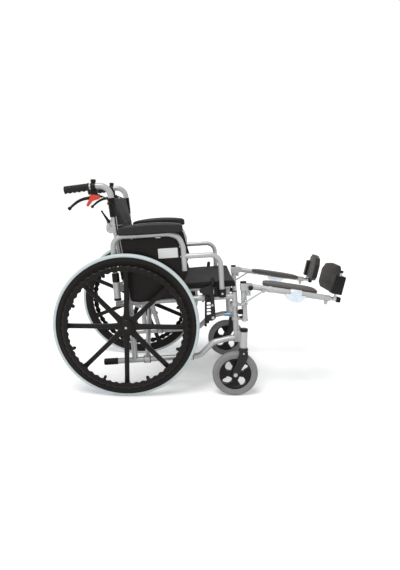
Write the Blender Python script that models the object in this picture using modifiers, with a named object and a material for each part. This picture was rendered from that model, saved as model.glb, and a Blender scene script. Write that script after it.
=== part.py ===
"""A folding wheelchair with elevating leg rests, modelled piece by piece at its real size.

The chair faces +X, its left side is +Y, and it stands on Z = 0. The right side is modelled and
the left side is its mirror image. A side view uses two directions: u runs forward along the seat
rails, and w runs up the posts. Both start at the drive wheel's axle and lean back by SEAT_TILT.
A distance d is measured outwards from the middle plane of the chair.
"""

import math

import bmesh
import bpy
import numpy as np
from mathutils import Matrix, Vector

# Whole chair
SEAT_TILT = math.radians(4.5)
AXLE_X = -0.3131
GAP = 0.0003
RUN = 0.0005
DRAWN_AXLE_Z = 0.305

# Frame tubes
TUBE_R = 0.0125
FRAME_D = 0.232
UPPER_RAIL_W = 0.090
LOWER_RAIL_W = -0.172
REAR_POST_U = 0.015
FRONT_POST_U = 0.472
FRONT_POST_W = (-0.1155, 0.1095)
RAIL_TAIL_U = -0.118
RAIL_TAIL_CAP = 0.058
RAIL_TAIL_CAP_R = 0.0145
UPPER_TAIL_U = -0.045
S_BEND = ((0.304, LOWER_RAIL_W), (0.366, -0.113), (0.440, -0.100))
S_BEND_R = 0.050
AXLE_SLEEVE_R = 0.016
AXLE_SLEEVE_D = (FRAME_D - 0.0170, FRAME_D + 0.0155)
CLAMP_BARREL = (0.425, 0.0106, 0.009)

# Back canes
CANE_FOOT_W = 0.060
CANE_HINGE = (-0.021, 0.425)
CANE_TOP = (-0.0255, 0.5426)
HINGE_SETBACK = 0.025
HINGE_PLATE = 0.0025
HINGE_PIN_R = 0.003
TONGUE_HALF = 0.0080
CANE_BUTT = 0.0016
LATCH_RISE = 0.0210
LATCH_LENGTH = 0.050

# Push grip and attendant brake, forward and height from the axle and the floor
GRIP_FRONT = (-0.158, 0.887)
GRIP_BACK = (-0.262, 0.872)
GRIP_R = 0.0160
GRIP_WAVE = 0.0012
GRIP_WAVES = 5
CANE_TURN_R = 0.045
BRAKE_BODY = (-0.135, 0.851)
BRAKE_LEVER_MID = (-0.203, 0.831)
BRAKE_LEVER_TIP = (-0.244, 0.796)
BRAKE_LEVER_R = 0.0040
BRAKE_BALL_R = 0.0080
LOCK_PIVOT = (-0.120, 0.846)
LOCK_TIP = (-0.164, 0.809)
CABLE_R = 0.0025
BRAKE_PIN_R = 0.0022
HOLD_PIN_R = 0.0028

# Drive wheel
TYRE_R = 0.3125
TYRE_SECTION = 0.0135
TYRE_HALF = 0.0135
WHEEL_OUT = 0.0605
WHEEL_D = FRAME_D + WHEEL_OUT
RIM_HALF = 0.0125
RIM_DEPTH = 0.037
RIM_DISH = 0.002
WHEEL_FACETS = 36
SPOKES = 8
SPOKE_HALF = 0.0090
SPOKE_ROOT = 0.012
SPOKE_TIP = 0.010
HUB_R = 0.033
HUB_D = (WHEEL_D - 0.0220, WHEEL_D + 0.0225)
HUB_CAP_R = 0.022
HUB_CAP = 0.005
AXLE_R = 0.006
HAND_RIM_R = 0.2540
HAND_RIM_HALF = 0.0120
HAND_RIM_THICK = 0.0072
HAND_RIM_WAVE = 0.0022
HAND_RIM_WAVES = 54
HAND_RIM_OUT = 0.0325
HAND_RIM_D = WHEEL_D + HAND_RIM_OUT
STANDOFF_R = 0.0070
DRUM_R = 0.045
DRUM_D = (FRAME_D + 0.0160, FRAME_D + 0.0290)
DRUM_BOSS = 0.006
FAR_WHEEL_TURN = math.radians(22.5)

# Caster
CASTER_R = 0.100
CASTER_HALF = 0.016
CASTER_OUT = 0.043
CASTER_D = FRAME_D + CASTER_OUT
CASTER_TYRE_SECTION = 0.030
SWIVEL_X = 0.505
TRAIL = 0.0325
STEM_R = 0.0060
HOUSING_R = 0.0165
HOUSING_Z = (0.2105, 0.285)
DUST_CAP = 0.013
CROWN_Z = (0.2020, 0.2097)
FORK_INNER = 0.0185
FORK_WALL = 0.005
CASTER_AXLE_R = 0.0050
CASTER_HOLES = 4
CASTER_FACETS = 20

# Armrest
ARM_OUT = 0.030
ARM_D = FRAME_D + ARM_OUT
ARM_R = 0.011
ARM_REAR_U = -0.032
ARM_TOP_W = 0.381
ARM_FRONT_U = 0.263
ARM_FRONT_END_W = 0.220
DESK_W = 0.281
DESK_U = 0.4175
ARM_BEND_R = 0.040
SOCKET_R = 0.0150
REAR_SOCKET_W = (0.111, 0.228)
FRONT_SOCKET_W = (0.096, 0.130)
SOCKET_FLOOR = 0.004
PAD_U = (-0.004, 0.266)
PAD_WIDE = 0.050
PAD_TOP_W = 0.4290
GUARD_D = (ARM_D - 0.0145, ARM_D - 0.0115)
GUARD_BADGE = ((0.155, 0.277), (0.239, 0.319))
GUARD_RIVETS = ((0.249, 0.322), (0.250, 0.279))

# Wheel lock
LOCK_D = (FRAME_D + 0.0155, FRAME_D + 0.0185)
LOCK_WINDOW_U = (0.350, 0.374)
LOCK_WINDOWS_W = (0.022, 0.050)
LOCK_WINDOW = 0.022
LOCK_LEVER_D = (FRAME_D + 0.0210, FRAME_D + 0.0250)
LOCK_LEVER_PIVOT = (0.372, 0.004)
LOCK_HANDLE = (0.382, 0.183)
LOCK_SHOE = (0.3286, 0.1244)
LOCK_SHOE_R = 0.008
LOCK_PIN_R = 0.0038

# Seat and cross brace
SEAT_TUBE_R = 0.0115
SEAT_TUBE_W = 0.135
SEAT_TUBE_U = (0.035, 0.455)
REST_U = (0.135, 0.395)
BRACE_R = 0.011
BRACE_A_U = (0.070, 0.262)
BRACE_B_U = (0.096, 0.236)
BRACE_SLEEVE_R = 0.0170
BRACE_SLEEVE = 0.026
BRACE_PIN_R = 0.004
SLING_U = (0.035, 0.478)
SLING_WRAP = 0.003
SLING_TOP = 0.026
SLING_SAG = 0.010
SLING_BELLY = 0.004
BACK_THICK = 0.005
BACK_BELLY = 0.015
BACK_FLAP_D = 0.0160
BACK_SLEEVE_R = 0.0150
BACK_UPPER_W = (0.4262, 0.5426)
BACK_LOWER_W = (0.1950, 0.4240)
UPPER_SLEEVE_W = (0.4640, 0.5426)
LOWER_SLEEVE_W = (0.1950, 0.2950)
BACK_HINGE_GAP_W = (0.3860, 0.4640)

# Leg rest
LEG_OUT = 0.018
LEG_D = FRAME_D + LEG_OUT
HANGER_U = 0.511
HANGER_W = (-0.017, 0.153)
COLLAR_R = 0.0168
COLLAR = 0.016
COLLARS_W = (-0.010, 0.053)
KNEE = (0.541, 0.131)
KNEE_EAR = (0.0135, 0.0165)
KNEE_PIN_R = 0.004
LEG_DROP = math.radians(7.8)
LEG_LENGTH = 0.352
STEM_TUBE_R = 0.008
STEM_LENGTH = 0.043
ROD_ALONG = LEG_LENGTH + 0.018
ROD_D = LEG_D + 0.005
ROD_R = 0.005
ROD_LENGTH = 0.127
ROD_LEAN = math.radians(11.0)
FOOT_TOE = math.radians(5.0)
FOOT_WIDE = (0.023, 0.200)
FOOT_TALL = (0.0215, 0.145)
FOOT_THICK = 0.024
FOOT_BLOCK = (0.046, 0.083)
CALF_ALONG = (0.060, 0.305)
CALF_D = (LEG_D - 0.103, LEG_D - 0.015)
CALF_UP = (-0.003, 0.022)
CALF_TILT = math.radians(4.0)
CALF_CLAMP = (0.175, 0.225)
STRUT_KNEE = (0.0560, -0.0080)
STRUT_KEEPER = (0.518, 0.0686)
STRUT_D = LEG_D + 0.0195
STRUT_R = 0.004
STRUT_SPARE = 0.018
STRUT_PIN_R = 0.0035
STRUT_EYE = 0.0045
KEEPER_R = 0.0142
KEEPER_BORE_R = 0.0106
RELEASE_PIVOT = (0.5305, 0.1007)
RELEASE_RISE = 0.029
RELEASE_PIN_R = 0.003


# Directions and frames
E_U = Vector((math.cos(SEAT_TILT), 0, math.sin(SEAT_TILT)))
E_W = Vector((-math.sin(SEAT_TILT), 0, math.cos(SEAT_TILT)))
OUT = Vector((0, -1, 0))
AXLE = Vector((AXLE_X, 0, TYRE_R))
LIFT = TYRE_R - DRAWN_AXLE_Z


def frame_of(origin, x_axis, y_axis):
    """A 4 by 4 matrix with the given origin and first two axes."""
    z_axis = x_axis.cross(y_axis)
    matrix = Matrix((x_axis, y_axis, z_axis)).transposed().to_4x4()
    matrix.translation = origin
    return matrix


LEANED = frame_of(AXLE, E_U, E_W)
UPRIGHT = frame_of(Vector((AXLE_X, 0, LIFT)), Vector((1, 0, 0)), Vector((0, 0, 1)))
ACROSS = frame_of(AXLE, Vector((0, 1, 0)), E_W)


def at(u, w, d):
    """The point u along the seat rails, w up the posts and d outwards on the right side."""
    return LEANED @ Vector((u, w, d))


def level(x, z, d):
    """The point x ahead of the axle and z up from a line DRAWN_AXLE_Z under it, d outwards."""
    return UPRIGHT @ Vector((x, z, d))


# Materials
def material(name, colour, roughness, metallic=0.0):
    made = bpy.data.materials.new(name)
    made.use_nodes = True
    shader = made.node_tree.nodes["Principled BSDF"]
    shader.inputs["Base Color"].default_value = (*colour, 1)
    shader.inputs["Roughness"].default_value = roughness
    shader.inputs["Metallic"].default_value = metallic
    return made


# Building blocks
def remove_scene_objects():
    for item in list(bpy.data.objects):
        bpy.data.objects.remove(item)


def linked(name, data):
    item = bpy.data.objects.new(name, data)
    bpy.context.scene.collection.objects.link(item)
    return item


def from_bmesh(name, shape, matrix=None):
    """A mesh object from a bmesh, with its place applied and its faces pointing out."""
    if matrix is not None:
        shape.transform(matrix)
    bmesh.ops.remove_doubles(shape, verts=shape.verts, dist=1e-6)
    bmesh.ops.recalc_face_normals(shape, faces=shape.faces)
    mesh = bpy.data.meshes.new(name)
    shape.to_mesh(mesh)
    shape.free()
    return linked(name, mesh)


def applied(item):
    """The object as its modifiers or its bevel leave it, as a plain mesh in world space."""
    bpy.context.view_layer.update()
    graph = bpy.context.evaluated_depsgraph_get()
    mesh = bpy.data.meshes.new_from_object(item.evaluated_get(graph))
    shape = bmesh.new()
    shape.from_mesh(mesh)
    made = from_bmesh(item.name, shape, item.matrix_world.copy())
    bpy.data.objects.remove(item)
    bpy.data.meshes.remove(mesh)
    return made


def rounded(points, radius, steps=4, closed=False):
    """The same line with an arc at each corner, as points."""
    points = [Vector(point) for point in points]
    line = []
    for index, corner in enumerate(points):
        before = points[index - 1] - corner
        after = points[(index + 1) % len(points)] - corner
        at_end = not closed and index in (0, len(points) - 1)
        if at_end or before.angle(after) > math.pi - 0.02:
            line.append(corner)
            continue
        half = before.angle(after) / 2
        reach = min(radius / math.tan(half), 0.49 * before.length, 0.49 * after.length)
        bow = reach * math.tan(half)
        middle = (before.normalized() + after.normalized()).normalized()
        centre = corner + middle * (bow / math.sin(half))
        first = corner + before.normalized() * reach - centre
        last = corner + after.normalized() * reach - centre
        turn = first.angle(last)
        for step in range(steps + 1):
            share = step / steps
            arm = first * math.sin((1 - share) * turn) + last * math.sin(share * turn)
            line.append(centre + arm / math.sin(turn))
    return line


def tube(points, radius, sides=8):
    """A round bar along the points."""
    curve = bpy.data.curves.new("tube", "CURVE")
    curve.dimensions = "3D"
    curve.bevel_depth = radius
    curve.bevel_resolution = (sides - 4) // 2
    curve.use_fill_caps = True
    spline = curve.splines.new("POLY")
    spline.points.add(len(points) - 1)
    for knot, point in zip(spline.points, points):
        knot.co = (*point, 1)
    return applied(linked("tube", curve))


def prism(outline, low, high, matrix=LEANED):
    """The flat outline, filled and drawn out from low to high along the matrix's third axis."""
    curve = bpy.data.curves.new("prism", "CURVE")
    curve.dimensions = "2D"
    curve.fill_mode = "BOTH"
    curve.extrude = (high - low) / 2
    spline = curve.splines.new("POLY")
    spline.points.add(len(outline) - 1)
    spline.use_cyclic_u = True
    for knot, point in zip(spline.points, outline):
        knot.co = (point[0], point[1], 0, 1)
    item = linked("prism", curve)
    item.matrix_world = matrix @ Matrix.Translation((0, 0, (low + high) / 2))
    return applied(item)


def rod(start, end, radius, sides=8, end_radius=None):
    """A cylinder or a cone from start to end."""
    start, end = Vector(start), Vector(end)
    run = end - start
    shape = bmesh.new()
    bmesh.ops.create_cone(
        shape,
        cap_ends=True,
        segments=sides,
        radius1=radius,
        radius2=radius if end_radius is None else end_radius,
        depth=run.length,
    )
    turn = run.to_track_quat("Z", "Y").to_matrix().to_4x4()
    return from_bmesh("rod", shape, Matrix.Translation((start + end) / 2) @ turn)


def bore(start, end, radius, sides=8):
    """A cutter whose flats, and not only its corners, are the radius away from its axis."""
    return rod(start, end, radius / math.cos(math.pi / sides), sides)


def bar(start, end, wide, tall, up=E_W):
    """A straight bar of rectangular section from start to end."""
    start, end = Vector(start), Vector(end)
    run = (end - start).normalized()
    side = up.cross(run).normalized()
    turn = Matrix((run, side, run.cross(side))).transposed().to_4x4()
    shape = bmesh.new()
    bmesh.ops.create_cube(shape, size=1.0)
    shape.transform(Matrix.Diagonal(((end - start).length, wide, tall, 1)))
    return from_bmesh("bar", shape, Matrix.Translation((start + end) / 2) @ turn)


def box(low, high, matrix=LEANED):
    """A box between two corners in the matrix's axes."""
    low, high = Vector(low), Vector(high)
    shape = bmesh.new()
    bmesh.ops.create_cube(shape, size=1.0)
    shape.transform(Matrix.Diagonal((*(high - low), 1)))
    shape.transform(Matrix.Translation((low + high) / 2))
    return from_bmesh("box", shape, matrix)


def ball(centre, radius):
    shape = bmesh.new()
    bmesh.ops.create_uvsphere(shape, u_segments=8, v_segments=6, radius=radius)
    return from_bmesh("ball", shape, Matrix.Translation(centre))


def turned(profile, matrix, steps, loop=False):
    """The profile of (radius, height) points, turned about the matrix's third axis."""
    mesh = bpy.data.meshes.new("turned")
    count = len(profile)
    edges = [(i, i + 1) for i in range(count - 1)] + ([(count - 1, 0)] if loop else [])
    mesh.from_pydata([(radius, 0, height) for radius, height in profile], edges, [])
    item = linked("turned", mesh)
    item.matrix_world = matrix
    screw = item.modifiers.new("screw", "SCREW")
    screw.steps = steps
    screw.render_steps = steps
    screw.use_merge_vertices = True
    screw.merge_threshold = 1e-5
    return applied(item)


def pillow(low, high, matrix, square, sides=16):
    """A soft crowned form: a sphere stretched to the box, its coordinates raised to a power.

    A power of one is an ellipsoid, and smaller powers fill the corners.
    """
    low, high = Vector(low), Vector(high)
    shape = bmesh.new()
    bmesh.ops.create_uvsphere(shape, u_segments=sides, v_segments=sides // 2, radius=1.0)
    for vertex in shape.verts:
        vertex.co = [math.copysign(abs(c) ** square, c) for c in vertex.co]
    shape.transform(Matrix.Diagonal((*((high - low) / 2), 1)))
    shape.transform(Matrix.Translation((low + high) / 2))
    return from_bmesh("pillow", shape, matrix)


def joined(pieces, cuts=()):
    """One solid from overlapping pieces, with the cuts taken away."""
    made = pieces[0]
    steps = [(piece, "UNION") for piece in pieces[1:]] + [(cut, "DIFFERENCE") for cut in cuts]
    for other, operation in steps:
        step = made.modifiers.new(operation, "BOOLEAN")
        step.operation = operation
        step.object = other
        made = applied(made)
        bpy.data.objects.remove(other)
    return made


def mirrored(item):
    """The left side's copy of a right side piece."""
    shape = bmesh.new()
    shape.from_mesh(item.data)
    return from_bmesh(item.name, shape, Matrix.Diagonal((1, -1, 1, 1)))


# Side frame
def cane_u(w):
    """Where the back cane's centre line is at height w."""
    start, end = (REAR_POST_U, CANE_FOOT_W), CANE_HINGE
    if w > CANE_HINGE[1]:
        start, end = CANE_HINGE, CANE_TOP
    share = max(0.0, (w - start[1]) / (end[1] - start[1]))
    return start[0] + share * (end[0] - start[0])


def hinge_pivot():
    """The cane hinge's pin, in u and w, behind the tube."""
    return CANE_HINGE[0] - HINGE_SETBACK, CANE_HINGE[1]


def hinge_plates():
    """Two cheeks welded to the lower cane, with the hinge pin between them."""
    u, w = hinge_pivot()
    step_u = CANE_HINGE[0] - TUBE_R - 0.004
    outline = [
        (u - 0.009, w - 0.020),
        (u - 0.010, w),
        (u - 0.006, w + 0.009),
        (u + 0.004, w + 0.010),
        (step_u, w - GAP),
        (CANE_HINGE[0] + 0.006, w - GAP),
        (CANE_HINGE[0] + 0.006, w - 0.026),
        (u + 0.006, w - 0.030),
    ]
    inner = TONGUE_HALF + 0.0025
    outer = inner + HINGE_PLATE
    cheeks = [prism(outline, FRAME_D + a, FRAME_D + b) for a, b in ((-outer, -inner), (inner, outer))]
    pin = rod(at(u, w, FRAME_D - outer + 0.001), at(u, w, FRAME_D + outer - 0.001), HINGE_PIN_R, 10)
    return cheeks + [pin]


def seat_rest(u):
    """A saddle on the upper rail that holds the seat tube when the chair is open."""
    half = SEAT_TUBE_R + GAP + 0.0025
    block = box(
        (u - 0.012, UPPER_RAIL_W + 0.004, FRAME_D - half), (u + 0.012, SEAT_TUBE_W, FRAME_D + half)
    )
    groove = rod(
        at(u - 0.02, SEAT_TUBE_W, FRAME_D), at(u + 0.02, SEAT_TUBE_W, FRAME_D), SEAT_TUBE_R + GAP
    )
    return joined([block], [groove])


def arm_socket(u, bottom, top, weld_u, weld_w, tall):
    """A socket tube outside the frame, with its strap, and the bore to cut from both."""
    strap_w = min(max(weld_w, bottom + tall / 2), top)
    body = rod(at(u, bottom, ARM_D), at(u, top, ARM_D), SOCKET_R)
    strap = bar(at(weld_u, weld_w, FRAME_D), at(u, strap_w, ARM_D), 0.012, tall)
    hole = bore(at(u, bottom + SOCKET_FLOOR, ARM_D), at(u, top + 0.02, ARM_D), ARM_R + RUN)
    return [body, strap], hole


def caster_housing():
    """The caster's bearing housing with its dust cap and plate, and the stem's bore."""
    low, high = HOUSING_Z
    weld = at(FRONT_POST_U, -0.088, FRAME_D)
    centre = level(SWIVEL_X, weld.z, CASTER_D)
    body = rod(level(SWIVEL_X, low, CASTER_D), level(SWIVEL_X, high, CASTER_D), HOUSING_R)
    cap = rod(
        level(SWIVEL_X, high - 0.001, CASTER_D),
        level(SWIVEL_X, high + DUST_CAP, CASTER_D),
        HOUSING_R + 0.001,
        end_radius=HOUSING_R - 0.004,
    )
    plate = bar(weld, centre, 0.020, 0.046, Vector((0, 0, 1)))
    hole = bore(
        level(SWIVEL_X, low - 0.01, CASTER_D),
        level(SWIVEL_X, high - 0.012, CASTER_D),
        STEM_R + RUN,
    )
    return [body, cap, plate], hole


def side_frame():
    rail_end = FRONT_POST_U - TUBE_R / 3
    rail_line = [(RAIL_TAIL_U, LOWER_RAIL_W), *S_BEND, (rail_end, S_BEND[-1][1])]
    lower_rail = tube([at(u, w, FRAME_D) for u, w in rounded(rail_line, S_BEND_R, 2)], TUBE_R)
    tail_cap = rod(
        at(RAIL_TAIL_U - 0.003, LOWER_RAIL_W, FRAME_D),
        at(RAIL_TAIL_U + RAIL_TAIL_CAP, LOWER_RAIL_W, FRAME_D),
        RAIL_TAIL_CAP_R,
    )
    cane_line = [
        (REAR_POST_U, LOWER_RAIL_W),
        (REAR_POST_U, CANE_FOOT_W),
        (CANE_HINGE[0], CANE_HINGE[1] - CANE_BUTT),
    ]
    cane = tube([at(u, w, FRAME_D) for u, w in rounded(cane_line, 0.2, 2)], TUBE_R)
    upper_rail = tube(
        [at(UPPER_TAIL_U, UPPER_RAIL_W, FRAME_D), at(rail_end, UPPER_RAIL_W, FRAME_D)], TUBE_R
    )
    front_post = tube([at(FRONT_POST_U, w, FRAME_D) for w in FRONT_POST_W], TUBE_R, 12)
    sleeve = rod(at(0, 0, AXLE_SLEEVE_D[0]), at(0, 0, AXLE_SLEEVE_D[1]), AXLE_SLEEVE_R, 12)
    sleeve_bore = bore(at(0, 0, AXLE_SLEEVE_D[0] - 0.02), at(0, 0, AXLE_SLEEVE_D[1] + 0.02), AXLE_R + RUN)
    barrel_u, barrel_w, barrel_r = CLAMP_BARREL
    barrel = rod(at(barrel_u, barrel_w, FRAME_D), at(FRONT_POST_U - 0.005, barrel_w, FRAME_D), barrel_r)
    rear_w = 0.165
    rear, rear_bore = arm_socket(ARM_REAR_U, *REAR_SOCKET_W, cane_u(rear_w), rear_w, 0.040)
    front, front_bore = arm_socket(DESK_U, *FRONT_SOCKET_W, DESK_U, UPPER_RAIL_W, 0.018)
    housing, stem_bore = caster_housing()
    pieces = [lower_rail, tail_cap, cane, upper_rail, front_post, sleeve, barrel]
    pieces += rear + front + housing + hinge_plates() + [seat_rest(u) for u in REST_U]
    return joined(pieces, [sleeve_bore, rear_bore, front_bore, stem_bore])


# Back cane, grip and attendant brake
def grip_point(x, d=FRAME_D):
    """The grip's axis at a distance x ahead of the axle."""
    (x_front, z_front), (x_back, z_back) = GRIP_FRONT, GRIP_BACK
    share = (x - x_front) / (x_back - x_front)
    return level(x, z_front + share * (z_back - z_front), d)


def upper_cane():
    foot = at(CANE_HINGE[0], CANE_HINGE[1] + CANE_BUTT / 2, FRAME_D)
    top = at(*CANE_TOP, FRAME_D)
    slope = (top - foot).normalized()
    back = (grip_point(GRIP_BACK[0]) - grip_point(GRIP_FRONT[0])).normalized()
    start = grip_point(GRIP_FRONT[0])
    rise = slope.x * (start.z - top.z) - slope.z * (start.x - top.x)
    corner = start + back * (rise / (slope.z * back.x - slope.x * back.z))
    end = grip_point(GRIP_BACK[0] + 0.020)
    line = rounded([foot, corner, end], CANE_TURN_R, 4)
    u, w = hinge_pivot()
    knuckle = rod(at(u, w, FRAME_D - TONGUE_HALF), at(u, w, FRAME_D + TONGUE_HALF), 0.0075)
    tongue = box(
        (u - 0.007, w + 0.001, FRAME_D - TONGUE_HALF),
        (CANE_HINGE[0], w + 0.030, FRAME_D + TONGUE_HALF),
    )
    latch_u, latch_w = latch_pivot()
    stub = rod(at(latch_u, latch_w, FRAME_D), at(latch_u, latch_w, FRAME_D + 0.0165), HINGE_PIN_R, 10)
    hole = bore(at(u, w, FRAME_D - 0.02), at(u, w, FRAME_D + 0.02), HINGE_PIN_R + RUN, 10)
    return joined([tube(line, TUBE_R), tongue, knuckle, stub], [hole])


def latch_pivot():
    u, w = hinge_pivot()
    return u + 0.004, w + LATCH_RISE


def cane_latch():
    """The release lever beside the hinge, which points up and back."""
    u, w = latch_pivot()
    lean = math.radians(30)
    near, far = FRAME_D + 0.0105, FRAME_D + 0.0140
    root = rod(at(u, w, near), at(u, w, far), 0.0062)
    tip = (u - LATCH_LENGTH * math.sin(lean), w + LATCH_LENGTH * math.cos(lean))
    blade = bar(at(u, w, (near + far) / 2), at(*tip, (near + far) / 2), 0.0032, 0.009, E_U)
    tab = box((tip[0] - 0.006, tip[1] - 0.004, FRAME_D - 0.006), (tip[0] + 0.005, tip[1] + 0.006, far))
    hole = bore(at(u, w, near - 0.01), at(u, w, far + 0.01), HINGE_PIN_R + GAP, 10)
    return joined([root, blade, tab], [hole])


def push_grip():
    """A moulded sleeve with finger waves, closed at its back end, over the cane's end."""
    start = grip_point(GRIP_FRONT[0])
    run = grip_point(GRIP_BACK[0]) - start
    length = run.length
    steps = GRIP_WAVES * 2
    sides = 10
    inner = (TUBE_R + GAP) / math.cos(math.pi / sides)
    profile = [(0.0, length), (GRIP_R - 0.004, length)]
    for step in range(steps, 0, -1):
        share = step / steps
        wave = GRIP_WAVE * math.cos(2 * math.pi * GRIP_WAVES * share)
        profile.append((GRIP_R - wave, length * (0.04 + 0.93 * share)))
    profile += [(GRIP_R + 0.002, 0.002), (GRIP_R + 0.001, 0.0)]
    profile += [(inner, 0.0), (inner, length - 0.018), (0.0, length - 0.018)]
    turn = run.to_track_quat("Z", "Y").to_matrix().to_4x4()
    return turned(profile, Matrix.Translation(start) @ turn, sides)


def brake_pivot():
    return BRAKE_BODY[0] - 0.004, BRAKE_BODY[1] + 0.005


def brake_body():
    """The clamp round the cane's turn, the housing under it and the knob on top."""
    x, z = BRAKE_BODY
    axis = (grip_point(GRIP_BACK[0]) - grip_point(GRIP_FRONT[0])).normalized()
    middle = grip_point(x - 0.006)
    ring = rod(middle - axis * 0.010, middle + axis * 0.010, TUBE_R + 0.0050)
    neck = bar(level(x, z, FRAME_D), level(x - 0.004, z + 0.030, FRAME_D), 0.016, 0.026, Vector((1, 0, 0)))
    housing = rod(level(x + 0.020, z - 0.001, FRAME_D), level(x - 0.012, z + 0.004, FRAME_D), 0.0085)
    ears = box((x - 0.017, z - 0.006, FRAME_D - 0.0075), (x + 0.004, z + 0.016, FRAME_D + 0.0075), UPRIGHT)
    knob = rod(middle + Vector((0, 0, 0.010)), middle + Vector((0, 0, 0.030)), 0.0105)
    lock_x, lock_z = LOCK_PIVOT
    stub = rod(level(lock_x, lock_z, FRAME_D), level(lock_x, lock_z, FRAME_D + 0.0150), HOLD_PIN_R)
    px, pz = brake_pivot()
    slot = box(
        (px - 0.020, pz - 0.030, FRAME_D - 0.0042), (px + 0.0075, pz + 0.0075, FRAME_D + 0.0042), UPRIGHT
    )
    pin = rod(level(px, pz, FRAME_D - 0.007), level(px, pz, FRAME_D + 0.007), BRAKE_PIN_R)
    hole = bore(middle - axis * 0.02, middle + axis * 0.02, TUBE_R + GAP)
    body = joined([ring, neck, housing, ears, knob, stub], [hole, slot])
    return joined([body, pin])


def brake_lever():
    px, pz = brake_pivot()
    root = rod(level(px, pz, FRAME_D - 0.0037), level(px, pz, FRAME_D + 0.0037), 0.0065)
    line = [(px, pz), (px - 0.018, pz - 0.020), BRAKE_LEVER_MID, BRAKE_LEVER_TIP]
    line = rounded([level(x, z, FRAME_D) for x, z in line], 0.05, 2)
    blade = tube(line, BRAKE_LEVER_R, 6)
    end = ball(line[-1], BRAKE_BALL_R)
    hole = bore(level(px, pz, FRAME_D - 0.01), level(px, pz, FRAME_D + 0.01), BRAKE_PIN_R + GAP)
    return joined([blade, root, end], [hole])


def brake_lock():
    """The bent lever on the brake body's outer side that holds the brake on."""
    x, z = LOCK_PIVOT
    outline = [
        (x - 0.006, z + 0.008),
        (x - 0.034, z + 0.011),
        (x - 0.040, z + 0.002),
        (LOCK_TIP[0] - 0.004, LOCK_TIP[1] + 0.002),
        (LOCK_TIP[0] + 0.003, LOCK_TIP[1] - 0.002),
        (x - 0.030, z - 0.004),
        (x - 0.004, z - 0.008),
        (x + 0.008, z - 0.004),
        (x + 0.007, z + 0.006),
    ]
    near, far = FRAME_D + 0.0098, FRAME_D + 0.0138
    plate = prism(rounded(outline, 0.003, 2, True), near, far, UPRIGHT)
    hole = bore(level(x, z, near - 0.01), level(x, z, far + 0.01), HOLD_PIN_R + GAP)
    return joined([plate], [hole])


def brake_cable():
    """From the brake body forward, down the outside of the cane and into the drum."""
    x, z = BRAKE_BODY
    beside = ARM_D - ARM_R - CABLE_R - GAP
    hook = [
        level(x + 0.020 + GAP, z - 0.001, FRAME_D),
        level(x + 0.034, z - 0.003, FRAME_D),
        level(x + 0.049, z - 0.009, FRAME_D + 0.009),
        level(x + 0.060, z - 0.020, FRAME_D + BACK_SLEEVE_R + 0.0040),
    ]
    past_sleeves = [at(cane_u(w) + 0.0085, w, beside) for w in (0.506, 0.425, 0.350, 0.270, 0.210)]
    past_strap = [at(cane_u(w) + 0.0035, w, beside - 0.0004) for w in (0.165, 0.130)]
    drum_d = sum(DRUM_D) / 2
    into = [
        at(0.0130, 0.098, beside),
        at(0.0050, 0.078, drum_d - 0.003),
        at(0.0, DRUM_R + DRUM_BOSS + 0.010, drum_d),
        at(0.0, DRUM_R + DRUM_BOSS + GAP, drum_d),
    ]
    return tube(smooth(hook + past_sleeves + past_strap + into, 20), CABLE_R, 6)


def smooth(points, count):
    """Evenly shared points on a Catmull-Rom curve through the given ones."""
    knots = np.array([points[0], *points, points[-1]], float)
    knots[0] = 2 * knots[1] - knots[2]
    knots[-1] = 2 * knots[-2] - knots[-3]
    places = np.linspace(0, len(points) - 1, count)
    spans = np.minimum(places.astype(int), len(points) - 2)
    t = (places - spans)[:, None]
    a, b, c, d = (knots[spans + shift] for shift in range(4))
    curve = 2 * b + (c - a) * t + (2 * a - 5 * b + 4 * c - d) * t**2 + (3 * b - a - 3 * c + d) * t**3
    return [Vector(point) for point in curve / 2]


# Drive wheel
def wheel_frame(d=0.0):
    """Turned pieces of the drive wheel stand on its axle, with their height outwards."""
    return frame_of(AXLE + OUT * d, Vector((1, 0, 0)), Vector((0, 0, 1)))


def tyre():
    inner = TYRE_R - TYRE_SECTION
    shoulder = TYRE_R - 0.006
    half = TYRE_HALF
    profile = [(inner, half), (shoulder, half), (TYRE_R, 0.0), (shoulder, -half), (inner, -half)]
    return turned(profile, wheel_frame(WHEEL_D), WHEEL_FACETS, loop=True)


def rim():
    """The moulded rim with its spokes and hub, and the axle's bore."""
    outer = TYRE_R - TYRE_SECTION - GAP
    inner = outer - RIM_DEPTH
    profile = [
        (outer, RIM_HALF),
        (outer, -RIM_HALF),
        (inner, -RIM_HALF + RIM_DISH),
        (inner, RIM_HALF - RIM_DISH),
    ]
    ring = turned(profile, wheel_frame(WHEEL_D), WHEEL_FACETS, loop=True)
    low, high = HUB_D
    hub_profile = [
        (0.0, high + HUB_CAP),
        (HUB_CAP_R - 0.002, high + HUB_CAP),
        (HUB_CAP_R, high),
        (HUB_R, high),
        (HUB_R, low),
        (0.0, low),
    ]
    hub = turned(hub_profile, wheel_frame(), 16)
    spokes = []
    for index in range(SPOKES):
        turn = Matrix.Rotation(2 * math.pi * index / SPOKES, 4, "Z")
        root, tip = SPOKE_ROOT, SPOKE_TIP
        start = HUB_R - 0.0025
        outline = [(start, -root), (inner + 0.006, -tip), (inner + 0.006, tip), (start, root)]
        place = wheel_frame(WHEEL_D) @ turn
        spokes.append(prism(outline, -SPOKE_HALF, SPOKE_HALF, place))
    hole = bore(at(0, 0, low - 0.01), at(0, 0, high - 0.006), AXLE_R + RUN)
    return joined([ring, hub] + spokes, [hole])


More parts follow.
